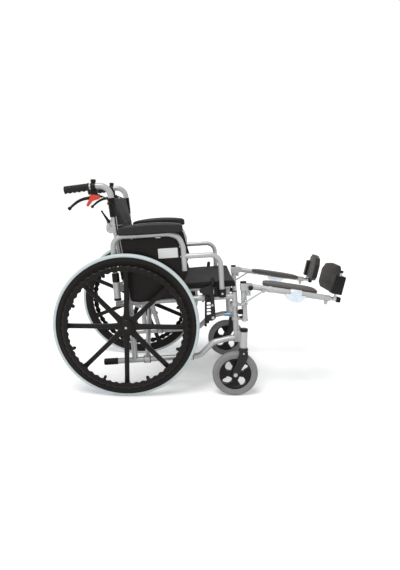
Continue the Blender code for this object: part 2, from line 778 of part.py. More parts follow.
def hand_rim():
    """A flat ring with finger waves on its outer and inner edges, on standoffs from the rim."""
    steps = HAND_RIM_WAVES * 2
    half, thick = HAND_RIM_HALF, HAND_RIM_THICK
    back = -thick / 2
    profile = [(HAND_RIM_R + half, back), (HAND_RIM_R - half, back), (HAND_RIM_R, thick)]
    place = wheel_frame(HAND_RIM_D)
    ring = turned(profile, place, steps, loop=True)
    inward = place.inverted()
    for vertex in ring.data.vertices:
        point = inward @ vertex.co
        angle = math.atan2(point.y, point.x)
        radius = math.hypot(point.x, point.y)
        side = (radius - HAND_RIM_R) / half
        radius += side * HAND_RIM_WAVE * math.cos(HAND_RIM_WAVES * angle)
        vertex.co = place @ Vector((radius * math.cos(angle), radius * math.sin(angle), point.z))
    rim_face = WHEEL_D + RIM_HALF - RIM_DISH + GAP
    foot_r = HAND_RIM_R + HAND_RIM_HALF * 0.30
    feet = []
    for index in range(SPOKES):
        angle = 2 * math.pi * (index + 0.5) / SPOKES
        ray = Vector((math.cos(angle), math.sin(angle), 0))
        foot = wheel_frame(rim_face) @ (ray * foot_r)
        head = wheel_frame(HAND_RIM_D) @ (ray * foot_r)
        feet.append(rod(foot, head, STANDOFF_R, 5))
    return joined([ring] + feet)


def hub_brake():
    """The brake drum on the frame, its cable boss, and the axle bolt through drum and sleeve."""
    low, high = DRUM_D
    profile = [(0.0, high), (DRUM_R - 0.008, high), (DRUM_R, high - 0.003), (DRUM_R, low), (0.0, low)]
    drum = turned(profile, wheel_frame(), 20)
    drum_d = (low + high) / 2
    boss = rod(at(0, DRUM_R - 0.006, drum_d), at(0, DRUM_R + DRUM_BOSS, drum_d), 0.0050)
    axle = rod(at(0, 0, AXLE_SLEEVE_D[0] - 0.006), at(0, 0, HUB_D[1] - 0.0065), AXLE_R, 10)
    nut = rod(at(0, 0, AXLE_SLEEVE_D[0] - 0.009), at(0, 0, AXLE_SLEEVE_D[0] - GAP), 0.0115, 6)
    return joined([drum, boss, axle, nut])


# Caster
def caster_axle(d=CASTER_D):
    return level(SWIVEL_X - TRAIL, CASTER_R - LIFT, d)


def caster_frame():
    return frame_of(caster_axle(), Vector((1, 0, 0)), Vector((0, 0, 1)))


def caster_fork():
    """Stem, crown and two curved legs, with the axle bolt across them."""
    low, high = CROWN_Z
    half = FORK_INNER + FORK_WALL
    stem = rod(level(SWIVEL_X, low, CASTER_D), level(SWIVEL_X, HOUSING_Z[1] - 0.014, CASTER_D), STEM_R)
    crown = box(
        (SWIVEL_X - 0.019, low, CASTER_D - half), (SWIVEL_X + 0.019, high, CASTER_D + half), UPRIGHT
    )
    x, z = SWIVEL_X - TRAIL, CASTER_R - LIFT
    outline = [
        (SWIVEL_X - 0.019, high - 0.001),
        (SWIVEL_X - 0.020, 0.180),
        (x - 0.002, z + 0.045),
        (x - 0.013, z + 0.012),
        (x - 0.011, z - 0.009),
        (x, z - 0.014),
        (x + 0.012, z - 0.009),
        (x + 0.022, z + 0.020),
        (SWIVEL_X + 0.010, z + 0.055),
        (SWIVEL_X + 0.018, 0.175),
        (SWIVEL_X + 0.019, high - 0.001),
    ]
    outline = rounded(outline, 0.02, 1, True)
    legs = [
        prism(outline, CASTER_D + a, CASTER_D + b, UPRIGHT)
        for a, b in ((-half, -FORK_INNER), (FORK_INNER, half))
    ]
    bolt = rod(caster_axle(CASTER_D - half), caster_axle(CASTER_D + half), CASTER_AXLE_R)
    heads = [
        rod(caster_axle(CASTER_D + a), caster_axle(CASTER_D + b), 0.0075)
        for a, b in ((-half - 0.004, -half + 0.001), (half - 0.001, half + 0.004))
    ]
    return joined([crown, stem] + legs + [bolt] + heads)


def caster_tyre():
    inner = CASTER_R - CASTER_TYRE_SECTION
    half = CASTER_HALF
    profile = [
        (inner, half - 0.003),
        (CASTER_R - 0.010, half),
        (CASTER_R, half - 0.009),
        (CASTER_R, 0.009 - half),
        (CASTER_R - 0.010, -half),
        (inner, 0.003 - half),
    ]
    return turned(profile, caster_frame(), CASTER_FACETS, loop=True)


def caster_hub():
    """A moulded disc with four swept holes and a raised boss."""
    outer = CASTER_R - CASTER_TYRE_SECTION - GAP
    half = CASTER_HALF - 0.004
    profile = [
        (0.0, half + 0.003),
        (0.017, half + 0.003),
        (0.020, half - 0.004),
        (outer, half),
        (outer, -half),
        (0.020, 0.004 - half),
        (0.017, -half - 0.003),
        (0.0, -half - 0.003),
    ]
    disc = turned(profile, caster_frame(), CASTER_FACETS)
    cuts = [bore(caster_axle(CASTER_D - 0.03), caster_axle(CASTER_D + 0.03), CASTER_AXLE_R + RUN)]
    for index in range(CASTER_HOLES):
        turn = Matrix.Rotation(2 * math.pi * index / CASTER_HOLES, 4, "Z")
        outline = [(0.024, -0.004), (0.040, -0.014), (0.054, -0.010), (0.053, 0.010), (0.036, 0.009)]
        cuts.append(prism(outline, -0.03, 0.03, caster_frame() @ turn))
    return joined([disc], cuts)


# Armrest
def arm_frame():
    """The upper tube over its front and rear posts, and the lower desk-length tube."""
    foot_w = REAR_SOCKET_W[0] + SOCKET_FLOOR + GAP
    upper = [
        (ARM_REAR_U, foot_w),
        (ARM_REAR_U, ARM_TOP_W),
        (0.200, ARM_TOP_W),
        (0.247, 0.368),
        (ARM_FRONT_U, 0.320),
        (ARM_FRONT_U, ARM_FRONT_END_W),
    ]
    lower = [(ARM_FRONT_U, DESK_W), (DESK_U, DESK_W), (DESK_U, FRONT_SOCKET_W[0] + SOCKET_FLOOR + GAP)]
    tubes = []
    for line in (upper, lower):
        tubes.append(tube([at(u, w, ARM_D) for u, w in rounded(line, ARM_BEND_R, 2)], ARM_R))
    return joined(tubes)


def arm_pad():
    """A moulded pad with a crowned top, seated on the upper tube."""
    bottom = ARM_TOP_W + ARM_R + GAP
    half = PAD_WIDE / 2
    low = (PAD_U[0], bottom - 0.0008, ARM_D - half)
    high = (PAD_U[1], PAD_TOP_W, ARM_D + half)
    pad = pillow(low, high, LEANED, 0.30)
    floor = box(
        (PAD_U[0] - 0.01, bottom - 0.02, ARM_D - half - 0.01),
        (PAD_U[1] + 0.01, bottom, ARM_D + half + 0.01),
    )
    return joined([pad], [floor])


def skirt_guard():
    """The side panel inside the arm tubes, with its blank badge plate."""
    outline = [
        (0.005, 0.371),
        (0.238, 0.371),
        (0.258, 0.345),
        (0.266, 0.300),
        (0.282, 0.235),
        (0.272, 0.200),
        (0.250, 0.160),
        (0.217, 0.103),
        (0.060, 0.092),
        (0.022, 0.100),
    ]
    panel = prism(rounded(outline, 0.012, 2, True), *GUARD_D)
    (u_low, w_low), (u_high, w_high) = GUARD_BADGE
    badge = box((u_low, w_low, GUARD_D[1] - 0.001), (u_high, w_high, GUARD_D[1] + 0.0012))
    rivets = [
        rod(at(u, w, GUARD_D[1] - 0.001), at(u, w, GUARD_D[1] + 0.002), 0.004) for u, w in GUARD_RIVETS
    ]
    return joined([panel, badge] + rivets)


# Wheel lock
def wheel_lock_bracket():
    """A lattice plate clamped on the upper rail, with the lever's pivot pin at its foot."""
    near, far = LOCK_D
    pu, pw = LOCK_LEVER_PIVOT
    outline = [
        (0.345, 0.104),
        (0.376, 0.104),
        (0.386, 0.060),
        (pu + 0.012, pw),
        (pu, pw - 0.012),
        (0.348, -0.010),
        (0.340, 0.030),
    ]
    plate = prism(rounded(outline, 0.006, 1, True), near, far)
    windows = [
        box((LOCK_WINDOW_U[0], low, near - 0.01), (LOCK_WINDOW_U[1], low + LOCK_WINDOW, far + 0.01))
        for low in LOCK_WINDOWS_W
    ]
    clamp = rod(at(0.347, UPPER_RAIL_W, FRAME_D), at(0.375, UPPER_RAIL_W, FRAME_D), TUBE_R + 0.0042)
    hole = tube([at(0.33, UPPER_RAIL_W, FRAME_D), at(0.39, UPPER_RAIL_W, FRAME_D)], TUBE_R + GAP)
    pin = rod(at(pu, pw, near + 0.001), at(pu, pw, LOCK_LEVER_D[1] + 0.003), LOCK_PIN_R)
    knob = rod(at(0.348, -0.001, near + 0.001), at(0.348, -0.001, far + 0.006), 0.006)
    return joined([plate, clamp, pin, knob], [hole] + windows)


def wheel_lock_lever():
    """The lever with its handle above and the shoe bar that presses on the tyre."""
    near, far = LOCK_LEVER_D
    pu, pw = LOCK_LEVER_PIVOT
    su, sw = LOCK_SHOE
    outline = [
        (pu - 0.009, pw - 0.004),
        (pu - 0.007, pw + 0.050),
        (su + 0.012, sw - 0.012),
        (su - 0.009, sw - 0.006),
        (su - 0.008, sw + 0.009),
        (0.362, 0.146),
        (0.380, 0.150),
        (pu + 0.012, pw + 0.030),
        (pu + 0.009, pw - 0.006),
    ]
    plate = prism(rounded(outline, 0.006, 1, True), near, far)
    middle = (near + far) / 2
    stalk = rod(at(0.373, 0.130, middle), at(0.3775, 0.160, middle), 0.0045)
    handle = rod(at(0.377, 0.150, middle), at(*LOCK_HANDLE, middle), 0.0095, 10, 0.0078)
    shoe = rod(at(su, sw, near + 0.001), at(su, sw, WHEEL_D + TYRE_HALF), LOCK_SHOE_R, 10)
    hole = bore(at(pu, pw, near - 0.01), at(pu, pw, far + 0.01), LOCK_PIN_R + GAP)
    return joined([plate, stalk, handle, shoe], [hole])


# Cross brace, seat and back cloth
def cross_bar(side, bars_u, pin_side):
    """One leg of the X: two bars from sleeves on this side's lower rail to the other seat tube.

    side is 1 for the bar whose foot is on the right rail and -1 for the left. pin_side is the
    direction along u of the pivot pins that this bar carries, or 0 for the bar with the holes.
    """
    foot_d, head_d = side * FRAME_D, -side * FRAME_D
    middle_w = (LOWER_RAIL_W + SEAT_TUBE_W) / 2
    pieces = [rod(*[at(u, SEAT_TUBE_W, head_d) for u in SEAT_TUBE_U], SEAT_TUBE_R)]
    cuts = []
    for u in bars_u:
        pieces.append(rod(at(u, LOWER_RAIL_W, foot_d), at(u, SEAT_TUBE_W, head_d), BRACE_R))
        ends = [at(u + shift, LOWER_RAIL_W, foot_d) for shift in (-BRACE_SLEEVE / 2, BRACE_SLEEVE / 2)]
        pieces.append(rod(*ends, BRACE_SLEEVE_R))
        ends = [at(u + shift, LOWER_RAIL_W, foot_d) for shift in (-BRACE_SLEEVE, BRACE_SLEEVE)]
        cuts.append(bore(*ends, TUBE_R + RUN))
    spacing = abs(BRACE_B_U[0] - BRACE_A_U[0])
    reach = spacing + BRACE_R + 0.005
    for index, u in enumerate(bars_u):
        outward = 1 if index == 0 else -1
        if pin_side:
            start = at(u, middle_w, 0)
            end = at(u + outward * reach, middle_w, 0)
            head = at(u + outward * (reach - 0.0045), middle_w, 0)
            pieces.append(rod(start, end, BRACE_PIN_R))
            pieces.append(rod(head, end, BRACE_PIN_R * 1.8, 6))
        else:
            cuts.append(bore(at(u - 0.02, middle_w, 0), at(u + 0.02, middle_w, 0), BRACE_PIN_R + RUN))
    return joined(pieces, cuts)


def arc(centre, radius, first, last, steps):
    """Points on an arc between two angles, in degrees."""
    angles = np.radians(np.linspace(first, last, steps + 1))
    return [(centre[0] + radius * math.cos(a), centre[1] + radius * math.sin(a)) for a in angles]


def seat_sling():
    """The padded seat: wrapped round both seat tubes, raised over them and hollowed between."""
    inner = SEAT_TUBE_R + GAP
    outer = inner + SLING_WRAP
    hang = 16
    side = arc((-FRAME_D, 0), outer, 180 - hang, 140, 3)
    shoulder_y = FRAME_D - 0.004
    side += [(-FRAME_D - outer + 0.001, SLING_TOP - 0.008), (-shoulder_y - 0.005, SLING_TOP - 0.001)]
    hollow = [
        (y, SLING_TOP - SLING_SAG * (1 - (y / shoulder_y) ** 2))
        for y in np.linspace(-shoulder_y, shoulder_y, 17)
    ]
    top = side + hollow + [(-y, w) for y, w in reversed(side)]
    under = arc((-FRAME_D, 0), inner, 180 - hang, 38, 6)
    under_y, under_w = under[-1]
    edge_y = under_y + 0.006
    low_w = under_w - 0.001
    belly = [(y, low_w - SLING_BELLY * (1 - (y / edge_y) ** 2)) for y in np.linspace(edge_y, -edge_y, 15)]
    under += belly + [(-y, w) for y, w in reversed(under)]
    outline = top + under[::-1]
    raised = ACROSS @ Matrix.Translation((0, SEAT_TUBE_W, 0))
    return prism(outline, *SLING_U, raised)


def back_cloth(low_w, high_w, sleeve_w):
    """A panel between the canes, cut clear of the hinges, with a short sleeve round each cane."""
    inner = TUBE_R + GAP
    centre = at(cane_u(low_w), low_w, 0)
    top = at(cane_u(high_w), high_w, 0)
    slope = (top - centre).normalized()
    across = Vector((0, 1, 0))
    matrix = frame_of(centre, across, slope.cross(across))
    length = (top - centre).length
    half = FRAME_D - TUBE_R / 2
    curve = [(y, -BACK_BELLY * (1 - (y / half) ** 2)) for y in np.linspace(-half, half, 11)]
    face = [(y, s - BACK_THICK / 2) for y, s in curve]
    rear = [(y, s + BACK_THICK / 2) for y, s in curve]
    pieces, cuts = [prism(face + rear[::-1], GAP, length - GAP, matrix)], []
    for side in (-1, 1):
        y = side * FRAME_D
        ends = [matrix @ Vector((y, 0, w - low_w)) for w in sleeve_w]
        long = [matrix @ Vector((y, 0, z)) for z in (-0.01, length + 0.01)]
        pieces.append(rod(*ends, BACK_SLEEVE_R, 10))
        cuts.append(bore(*long, inner, 10))
        first, last = BACK_HINGE_GAP_W
        edges = sorted((side * (FRAME_D - BACK_FLAP_D), side * (FRAME_D + 0.05)))
        cuts.append(box((cane_u(low_w) - 0.05, first, edges[0]), (cane_u(low_w) + 0.05, last, edges[1])))
    return joined(pieces, cuts)


# Leg rest
def leg_frame(d=LEG_D):
    """Axes along the leg tube and up from it, from the knee pivot."""
    along = Vector((math.cos(LEG_DROP), 0, -math.sin(LEG_DROP)))
    up = Vector((math.sin(LEG_DROP), 0, math.cos(LEG_DROP)))
    return frame_of(at(*KNEE, d), along, up)


def leg(along, up, d=LEG_D):
    return leg_frame(0) @ Vector((along, up, d))


def rod_frame():
    """Axes of the footplate's hinge rod: inwards across the chair, up the rod, and forward."""
    lean = Vector((math.sin(ROD_LEAN), 0, math.cos(ROD_LEAN)))
    return frame_of(leg(ROD_ALONG, 0, ROD_D), Vector((0, 1, 0)), lean)


def leg_hanger():
    """The hanger tube, its two collars on the front post, the knee yoke and the strut's keeper."""
    low, high = HANGER_W
    post = tube([at(HANGER_U, low, LEG_D), at(HANGER_U, high, LEG_D)], TUBE_R)
    cap = rod(at(HANGER_U, high - 0.004, LEG_D), at(HANGER_U, high + 0.003, LEG_D), TUBE_R + 0.0014)
    foot = rod(at(HANGER_U, low - 0.003, LEG_D), at(HANGER_U, low + 0.006, LEG_D), TUBE_R + 0.0022)
    pieces, cuts = [post, cap, foot], []
    for w in COLLARS_W:
        ends = [at(FRONT_POST_U, w + rise, FRAME_D) for rise in (-COLLAR / 2, COLLAR / 2)]
        pieces.append(rod(*ends, COLLAR_R))
        pieces.append(bar(at(FRONT_POST_U, w, FRAME_D), at(HANGER_U, w, LEG_D), 0.011, COLLAR - 0.003))
        ends = [at(FRONT_POST_U, w + rise, FRAME_D) for rise in (-COLLAR, COLLAR)]
        cuts.append(bore(*ends, TUBE_R + RUN))
    ku, kw = KNEE
    inner, outer = KNEE_EAR
    half = outer - 0.0006
    block = box((HANGER_U - 0.0145, kw - 0.016, LEG_D - half), (HANGER_U + 0.0085, kw + 0.015, LEG_D + half))
    outline = [
        (HANGER_U - 0.002, kw - 0.015),
        (ku + 0.008, kw - 0.014),
        (ku + 0.014, kw),
        (ku + 0.008, kw + 0.014),
        (HANGER_U - 0.002, kw + 0.014),
    ]
    outline = rounded(outline, 0.010, 1, True)
    ears = [prism(outline, LEG_D + a, LEG_D + b) for a, b in ((-outer, -inner), (inner, outer))]
    pin = rod(at(ku, kw, LEG_D - outer - 0.002), at(ku, kw, LEG_D + outer + 0.002), KNEE_PIN_R, 10)
    keep_u, keep_w = STRUT_KEEPER
    knee = leg(*STRUT_KNEE, STRUT_D)
    eye = at(keep_u, keep_w, STRUT_D)
    run = (knee - eye).normalized()
    ring = rod(eye - run * 0.003, eye + run * 0.003, KEEPER_R, 10)
    hole = bore(eye - run * 0.02, eye + run * 0.02, KEEPER_BORE_R, 10)
    rp_u, rp_w = RELEASE_PIVOT
    lug = box(
        (rp_u - 0.009, rp_w - 0.007, LEG_D + inner + GAP),
        (rp_u + 0.009, kw - 0.006, LEG_D + outer - GAP),
    )
    stub_ends = [at(rp_u, rp_w, LEG_D + d) for d in (inner + 0.001, outer + 0.0075)]
    stub = rod(*stub_ends, RELEASE_PIN_R)
    catch = box((HANGER_U - 0.028, 0.012, LEG_D - 0.004), (HANGER_U, 0.034, LEG_D + 0.010))
    pieces += [block, *ears, pin, ring, lug, stub, catch]
    return joined(pieces, cuts + [hole])


def release_lever():
    rp_u, rp_w = RELEASE_PIVOT
    near = LEG_D + KNEE_EAR[1] + 0.0025
    far = near + 0.004
    middle = (near + far) / 2
    root = rod(at(rp_u, rp_w, near), at(rp_u, rp_w, far), 0.0065)
    knob_d = LEG_D + KNEE_EAR[1] + 0.0135
    knob = at(rp_u + 0.0085, rp_w + RELEASE_RISE, knob_d)
    stalk = tube([at(rp_u, rp_w, middle), at(rp_u, rp_w + 0.012, middle), knob], 0.0022, 6)
    hole = bore(at(rp_u, rp_w, near - 0.01), at(rp_u, rp_w, far + 0.01), RELEASE_PIN_R + GAP)
    return joined([root, stalk, ball(knob, 0.0088)], [hole])


def leg_tube():
    """The leg tube with the strut's pivot pin and the bore for the footplate's stem."""
    body = tube([leg(-0.010, 0), leg(LEG_LENGTH, 0)], TUBE_R, 12)
    collar = rod(leg(0.080, 0), leg(0.094, 0), TUBE_R + 0.0016)
    along, up = STRUT_KNEE
    pin = rod(leg(along, up), leg(along, up, STRUT_D + STRUT_EYE + 0.001), STRUT_PIN_R)
    washer = rod(leg(along, up, LEG_D + 0.005), leg(along, up, STRUT_D - STRUT_EYE - GAP), 0.006)
    stem_bore = bore(leg(LEG_LENGTH - 0.045, 0), leg(LEG_LENGTH + 0.01, 0), STEM_TUBE_R + GAP, 10)
    knee_bore = bore(at(*KNEE, LEG_D - 0.02), at(*KNEE, LEG_D + 0.02), KNEE_PIN_R + RUN)
    return joined([body, collar, pin, washer], [stem_bore, knee_bore])


def elevation_strut():
    """The rod from its pivot on the leg tube through the keeper on the hanger."""
    knee = leg(*STRUT_KNEE, STRUT_D)
    eye = at(*STRUT_KEEPER, STRUT_D)
    run = (eye - knee).normalized()
    side = OUT * STRUT_EYE
    tail = eye + run * STRUT_SPARE
    eyelet = rod(knee - side, knee + side, 0.0085)
    shaft = tube([knee + run * 0.006, tail], STRUT_R)
    stop = rod(tail - run * 0.001, tail + run * 0.008, STRUT_R + 0.0012)
    hole = bore(knee - side * 2, knee + side * 2, STRUT_PIN_R + GAP)
    return joined([shaft, eyelet, stop], [hole])


def footplate_stem():
    """The stem in the leg tube with its end plug, and the footplate's hinge rod on it."""
    end = LEG_LENGTH + STEM_LENGTH
    stem = tube([leg(LEG_LENGTH - 0.040, 0), leg(end - 0.002, 0)], STEM_TUBE_R)
    plug = rod(leg(end - 0.010, 0), leg(end, 0), STEM_TUBE_R + 0.0015)
    place = rod_frame()
    low, high, top = (place @ Vector((0, y, 0)) for y in (-0.002, ROD_LENGTH - 0.008, ROD_LENGTH))
    shaft = rod(low, high, ROD_R)
    cap = rod(high, top, ROD_R + 0.003)
    return joined([stem, plug, shaft, cap])


def footplate():
    """The moulded plate with a curved upper edge, and its hinge block round the rod."""
    place = rod_frame() @ Matrix.Rotation(FOOT_TOE, 4, "Y")
    near, far = FOOT_WIDE
    low, high = FOOT_TALL
    outline = [
        (0.005, low + 0.010),
        (near, low),
        (far - 0.030, low),
        (far, low + 0.018),
        (far, high - 0.040),
        (far - 0.030, high - 0.010),
        ((near + far) / 2, high),
        (near + 0.020, high - 0.002),
        (near, high - 0.025),
        (0.005, high - 0.034),
    ]
    plate = prism(rounded(outline, 0.010, 2, True), -FOOT_THICK / 2, FOOT_THICK / 2, place)
    wide, tall = FOOT_BLOCK
    block_outline = [
        (-0.013, low + 0.002),
        (0.026, low + 0.002),
        (0.026, low + tall),
        (-0.013, low + tall),
    ]
    block = prism(rounded(block_outline, 0.005, 2, True), -wide / 2, wide / 2, place)
    hole = bore(place @ Vector((0, -0.02, 0)), place @ Vector((0, ROD_LENGTH + 0.02, 0)), ROD_R + RUN)
    cap_room = bore(
        place @ Vector((0, ROD_LENGTH - 0.0085, 0)),
        place @ Vector((0, ROD_LENGTH + 0.03, 0)),
        ROD_R + 0.0036,
        10,
    )
    return joined([plate, block], [hole, cap_room])


def calf_pad():
    """The pad beside the leg tube, on a clamp that turns round the tube."""
    matrix = leg_frame(0)
    near, far = CALF_ALONG
    low, high = CALF_UP
    edge = Matrix.Translation((0, 0.010, CALF_D[1]))
    tilted = matrix @ edge @ Matrix.Rotation(CALF_TILT, 4, "X") @ edge.inverted()
    pad = pillow((near, low, CALF_D[0]), (far, high, CALF_D[1]), tilted, 0.42)
    first, last = CALF_CLAMP
    ring = rod(leg(first, 0), leg(last, 0), TUBE_R + 0.0045)
    plate = box((first + 0.002, -0.004, CALF_D[0] + 0.034), (last - 0.002, 0.010, LEG_D), matrix)
    hole = bore(leg(first - 0.02, 0), leg(last + 0.02, 0), TUBE_R + RUN)
    return joined([pad, plate, ring], [hole])


# The whole chair
def right_bodies():
    """Every body of the right side: its parent, its joint's point and its pieces by material."""
    frame, cane, leg_rest, leg_lift = "frame", "upper_cane", "leg_rest", "leg_lift"
    return {
        frame: (None, AXLE.copy(), [
            ("side_frame", side_frame, "silver_tube"),
            ("hub_brake", hub_brake, "zinc"),
            ("wheel_lock_bracket", wheel_lock_bracket, "black_steel"),
            ("brake_cable", brake_cable, "cable_black"),
        ]),
        cane: (frame, at(*hinge_pivot(), FRAME_D), [
            ("upper_cane", upper_cane, "silver_tube"),
            ("push_grip", push_grip, "grip_rubber"),
            ("brake_body", brake_body, "black_plastic"),
        ]),
        "cane_latch": (cane, at(*latch_pivot(), FRAME_D), [("cane_latch", cane_latch, "black_plastic")]),
        "brake_lever": (cane, level(*brake_pivot(), FRAME_D), [
            ("brake_lever", brake_lever, "black_plastic"),
        ]),
        "brake_lock": (cane, level(*LOCK_PIVOT, FRAME_D), [("brake_lock", brake_lock, "red_plastic")]),
        "drive_wheel": (frame, at(0, 0, WHEEL_D), [
            ("tyre", tyre, "grey_tyre"),
            ("rim", rim, "black_plastic"),
            ("hand_rim", hand_rim, "black_plastic"),
        ]),
        "caster_fork": (frame, level(SWIVEL_X, HOUSING_Z[0], CASTER_D), [
            ("caster_fork", caster_fork, "black_steel"),
        ]),
        "caster_wheel": ("caster_fork", caster_axle(), [
            ("caster_tyre", caster_tyre, "caster_rubber"),
            ("caster_hub", caster_hub, "black_plastic"),
        ]),
        "armrest": (frame, at(ARM_REAR_U, ARM_TOP_W, ARM_D), [
            ("arm_frame", arm_frame, "silver_tube"),
            ("arm_pad", arm_pad, "pad_skin"),
            ("skirt_guard", skirt_guard, "black_plastic"),
        ]),
        "wheel_lock": (frame, at(*LOCK_LEVER_PIVOT, LOCK_LEVER_D[0]), [
            ("wheel_lock_lever", wheel_lock_lever, "black_steel"),
        ]),
        leg_rest: (frame, at(FRONT_POST_U, COLLARS_W[1], FRAME_D), [
            ("leg_hanger", leg_hanger, "silver_tube"),
        ]),
        leg_lift: (leg_rest, at(*KNEE, LEG_D), [
            ("leg_tube", leg_tube, "silver_tube"),
            ("footplate_stem", footplate_stem, "silver_tube"),
        ]),
        "strut": (leg_lift, leg(*STRUT_KNEE, STRUT_D), [("elevation_strut", elevation_strut, "zinc")]),
        "release": (leg_rest, at(*RELEASE_PIVOT, LEG_D), [("release_lever", release_lever, "black_plastic")]),
        "calf": (leg_lift, leg(CALF_CLAMP[0], 0), [("calf_pad", calf_pad, "pad_skin")]),
        "foot": (leg_lift, rod_frame().translation.copy(), [("footplate", footplate, "black_plastic")]),
    }


def empty(name, place, parent, collection):
    pivot = bpy.data.objects.new(name, None)
    pivot.empty_display_size = 0.02
    collection.objects.link(pivot)
    pivot.location = place
    if parent is not None:
        pivot.parent = parent
        pivot.location = Vector(place) - parent.matrix_world.translation
    bpy.context.view_layer.update()
    return pivot


def hang(item, name, finish, pivot, collection):
    """Names the piece, gives it its finish and puts its origin on its body's joint."""
    place = pivot.matrix_world.translation.copy()
    item.name = name
    item.data.name = name
    item.data.transform(Matrix.Translation(-place))
    item.data.materials.clear()
    item.data.materials.append(finish)
    item.data.shade_smooth()
    item.data.set_sharp_from_angle(angle=math.radians(35))
    bpy.context.scene.collection.objects.unlink(item)
    collection.objects.link(item)
    item.parent = pivot


def turned_about(item, point, axis, angle):
    """The piece turned about a line, for the far wheel's own angle."""
    spin = Matrix.Translation(point) @ Matrix.Rotation(angle, 4, axis) @ Matrix.Translation(-point)
    item.data.transform(spin)
    return item


def build():
    remove_scene_objects()
    chair = bpy.data.collections.new("folding_wheelchair")
    bpy.context.scene.collection.children.link(chair)
    finishes = {
        "silver_tube": material("silver_tube", (0.52, 0.52, 0.51), 0.42, 0.35),
        "zinc": material("zinc", (0.58, 0.58, 0.56), 0.35, 0.9),
        "black_steel": material("black_steel", (0.03, 0.03, 0.032), 0.45, 0.2),
        "black_plastic": material("black_plastic", (0.022, 0.021, 0.020), 0.5),
        "red_plastic": material("red_plastic", (0.62, 0.035, 0.015), 0.4),
        "grip_rubber": material("grip_rubber", (0.02, 0.02, 0.02), 0.75),
        "cable_black": material("cable_black", (0.02, 0.02, 0.02), 0.5),
        "grey_tyre": material("grey_tyre", (0.60, 0.66, 0.67), 0.75),
        "caster_rubber": material("caster_rubber", (0.24, 0.225, 0.22), 0.8),
        "pad_skin": material("pad_skin", (0.02, 0.02, 0.021), 0.6),
        "black_nylon": material("black_nylon", (0.018, 0.018, 0.02), 0.9),
    }
    flip = Matrix.Diagonal((1, -1, 1, 1))
    bodies = right_bodies()
    pivots, copies = {}, []
    for body, (parent, place, pieces) in bodies.items():
        above = pivots.get((parent, "right"))
        pivots[body, "right"] = empty(f"{body}_right_pivot", place, above, chair)
        for name, make, finish in pieces:
            item = make()
            copies.append((body, name, mirrored(item), finish))
            hang(item, f"{name}_right", finishes[finish], pivots[body, "right"], chair)

    foot_a = at(BRACE_A_U[0], LOWER_RAIL_W, FRAME_D)
    middle = at(BRACE_A_U[0], (LOWER_RAIL_W + SEAT_TUBE_W) / 2, 0)
    right_frame = pivots["frame", "right"]
    pivot_a = empty("cross_bar_a_pivot", foot_a, right_frame, chair)
    pivot_b = empty("cross_bar_b_pivot", middle, pivot_a, chair)
    pivots["frame", "left"] = empty("frame_left_pivot", flip @ foot_a, pivot_b, chair)
    hang(cross_bar(1, BRACE_A_U, 1), "cross_bar_a", finishes["silver_tube"], pivot_a, chair)
    hang(cross_bar(-1, BRACE_B_U, 0), "cross_bar_b", finishes["silver_tube"], pivot_b, chair)
    hang(seat_sling(), "seat_sling", finishes["black_nylon"], pivot_a, chair)
    lower_back = back_cloth(*BACK_LOWER_W, LOWER_SLEEVE_W)
    hang(lower_back, "back_lower", finishes["black_nylon"], right_frame, chair)
    upper = pivots["upper_cane", "right"]
    upper_back = back_cloth(*BACK_UPPER_W, UPPER_SLEEVE_W)
    hang(upper_back, "back_upper", finishes["black_nylon"], upper, chair)

    for body, (parent, place, _) in bodies.items():
        if parent is not None:
            above = pivots[parent, "left"]
            pivots[body, "left"] = empty(f"{body}_left_pivot", flip @ place, above, chair)
    hub = flip @ bodies["drive_wheel"][1]
    for body, name, item, finish in copies:
        if body == "drive_wheel":
            turned_about(item, hub, Vector((0, 1, 0)), FAR_WHEEL_TURN)
        hang(item, f"{name}_left", finishes[finish], pivots[body, "left"], chair)


build()
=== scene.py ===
# %% [markdown]
# A folding wheelchair with elevating leg rests, dressed for a picture.
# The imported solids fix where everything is, in metres: +X is forward, +Y is the sitter's left and
# the floor is Z = 0. Each cell below adds one piece or one finish on top of those solids.

# %% Load the frame
import math

import bmesh
import bpy
import numpy as np
from mathutils import Matrix


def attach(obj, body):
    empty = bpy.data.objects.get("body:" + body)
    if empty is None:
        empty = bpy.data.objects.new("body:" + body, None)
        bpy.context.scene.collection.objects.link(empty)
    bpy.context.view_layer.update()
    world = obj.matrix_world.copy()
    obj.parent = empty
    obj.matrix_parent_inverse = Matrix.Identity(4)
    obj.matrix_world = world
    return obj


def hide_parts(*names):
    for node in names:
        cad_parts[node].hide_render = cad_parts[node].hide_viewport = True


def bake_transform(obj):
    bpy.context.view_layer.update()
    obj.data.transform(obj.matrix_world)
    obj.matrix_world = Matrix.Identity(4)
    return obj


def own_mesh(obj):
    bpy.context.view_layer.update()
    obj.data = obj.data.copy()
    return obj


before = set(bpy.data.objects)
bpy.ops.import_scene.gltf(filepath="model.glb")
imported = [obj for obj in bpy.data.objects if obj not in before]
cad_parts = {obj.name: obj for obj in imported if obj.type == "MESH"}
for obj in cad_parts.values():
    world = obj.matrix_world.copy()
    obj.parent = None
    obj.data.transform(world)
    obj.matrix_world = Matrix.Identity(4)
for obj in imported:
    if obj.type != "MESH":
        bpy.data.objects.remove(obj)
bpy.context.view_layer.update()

# %% [markdown]
# The photograph was taken from the chair's right, a little ahead of the drive wheel's axle and
# above the push grips, looking slightly down. The camera could be fitted by eye, but the height of
# the horizon and the ellipses of the two drive wheels fix it better, so those numbers are used.

# %% Camera
CAMERA_PLACE = (-0.0427, -2.2659, 0.8568)
CAMERA_YAW, CAMERA_PITCH, CAMERA_ROLL = 0.0203, 0.1804, 0.0173
FOCAL_PIXELS, FRAME_PIXELS, SENSOR_MM = 475.47, 570, 36.0


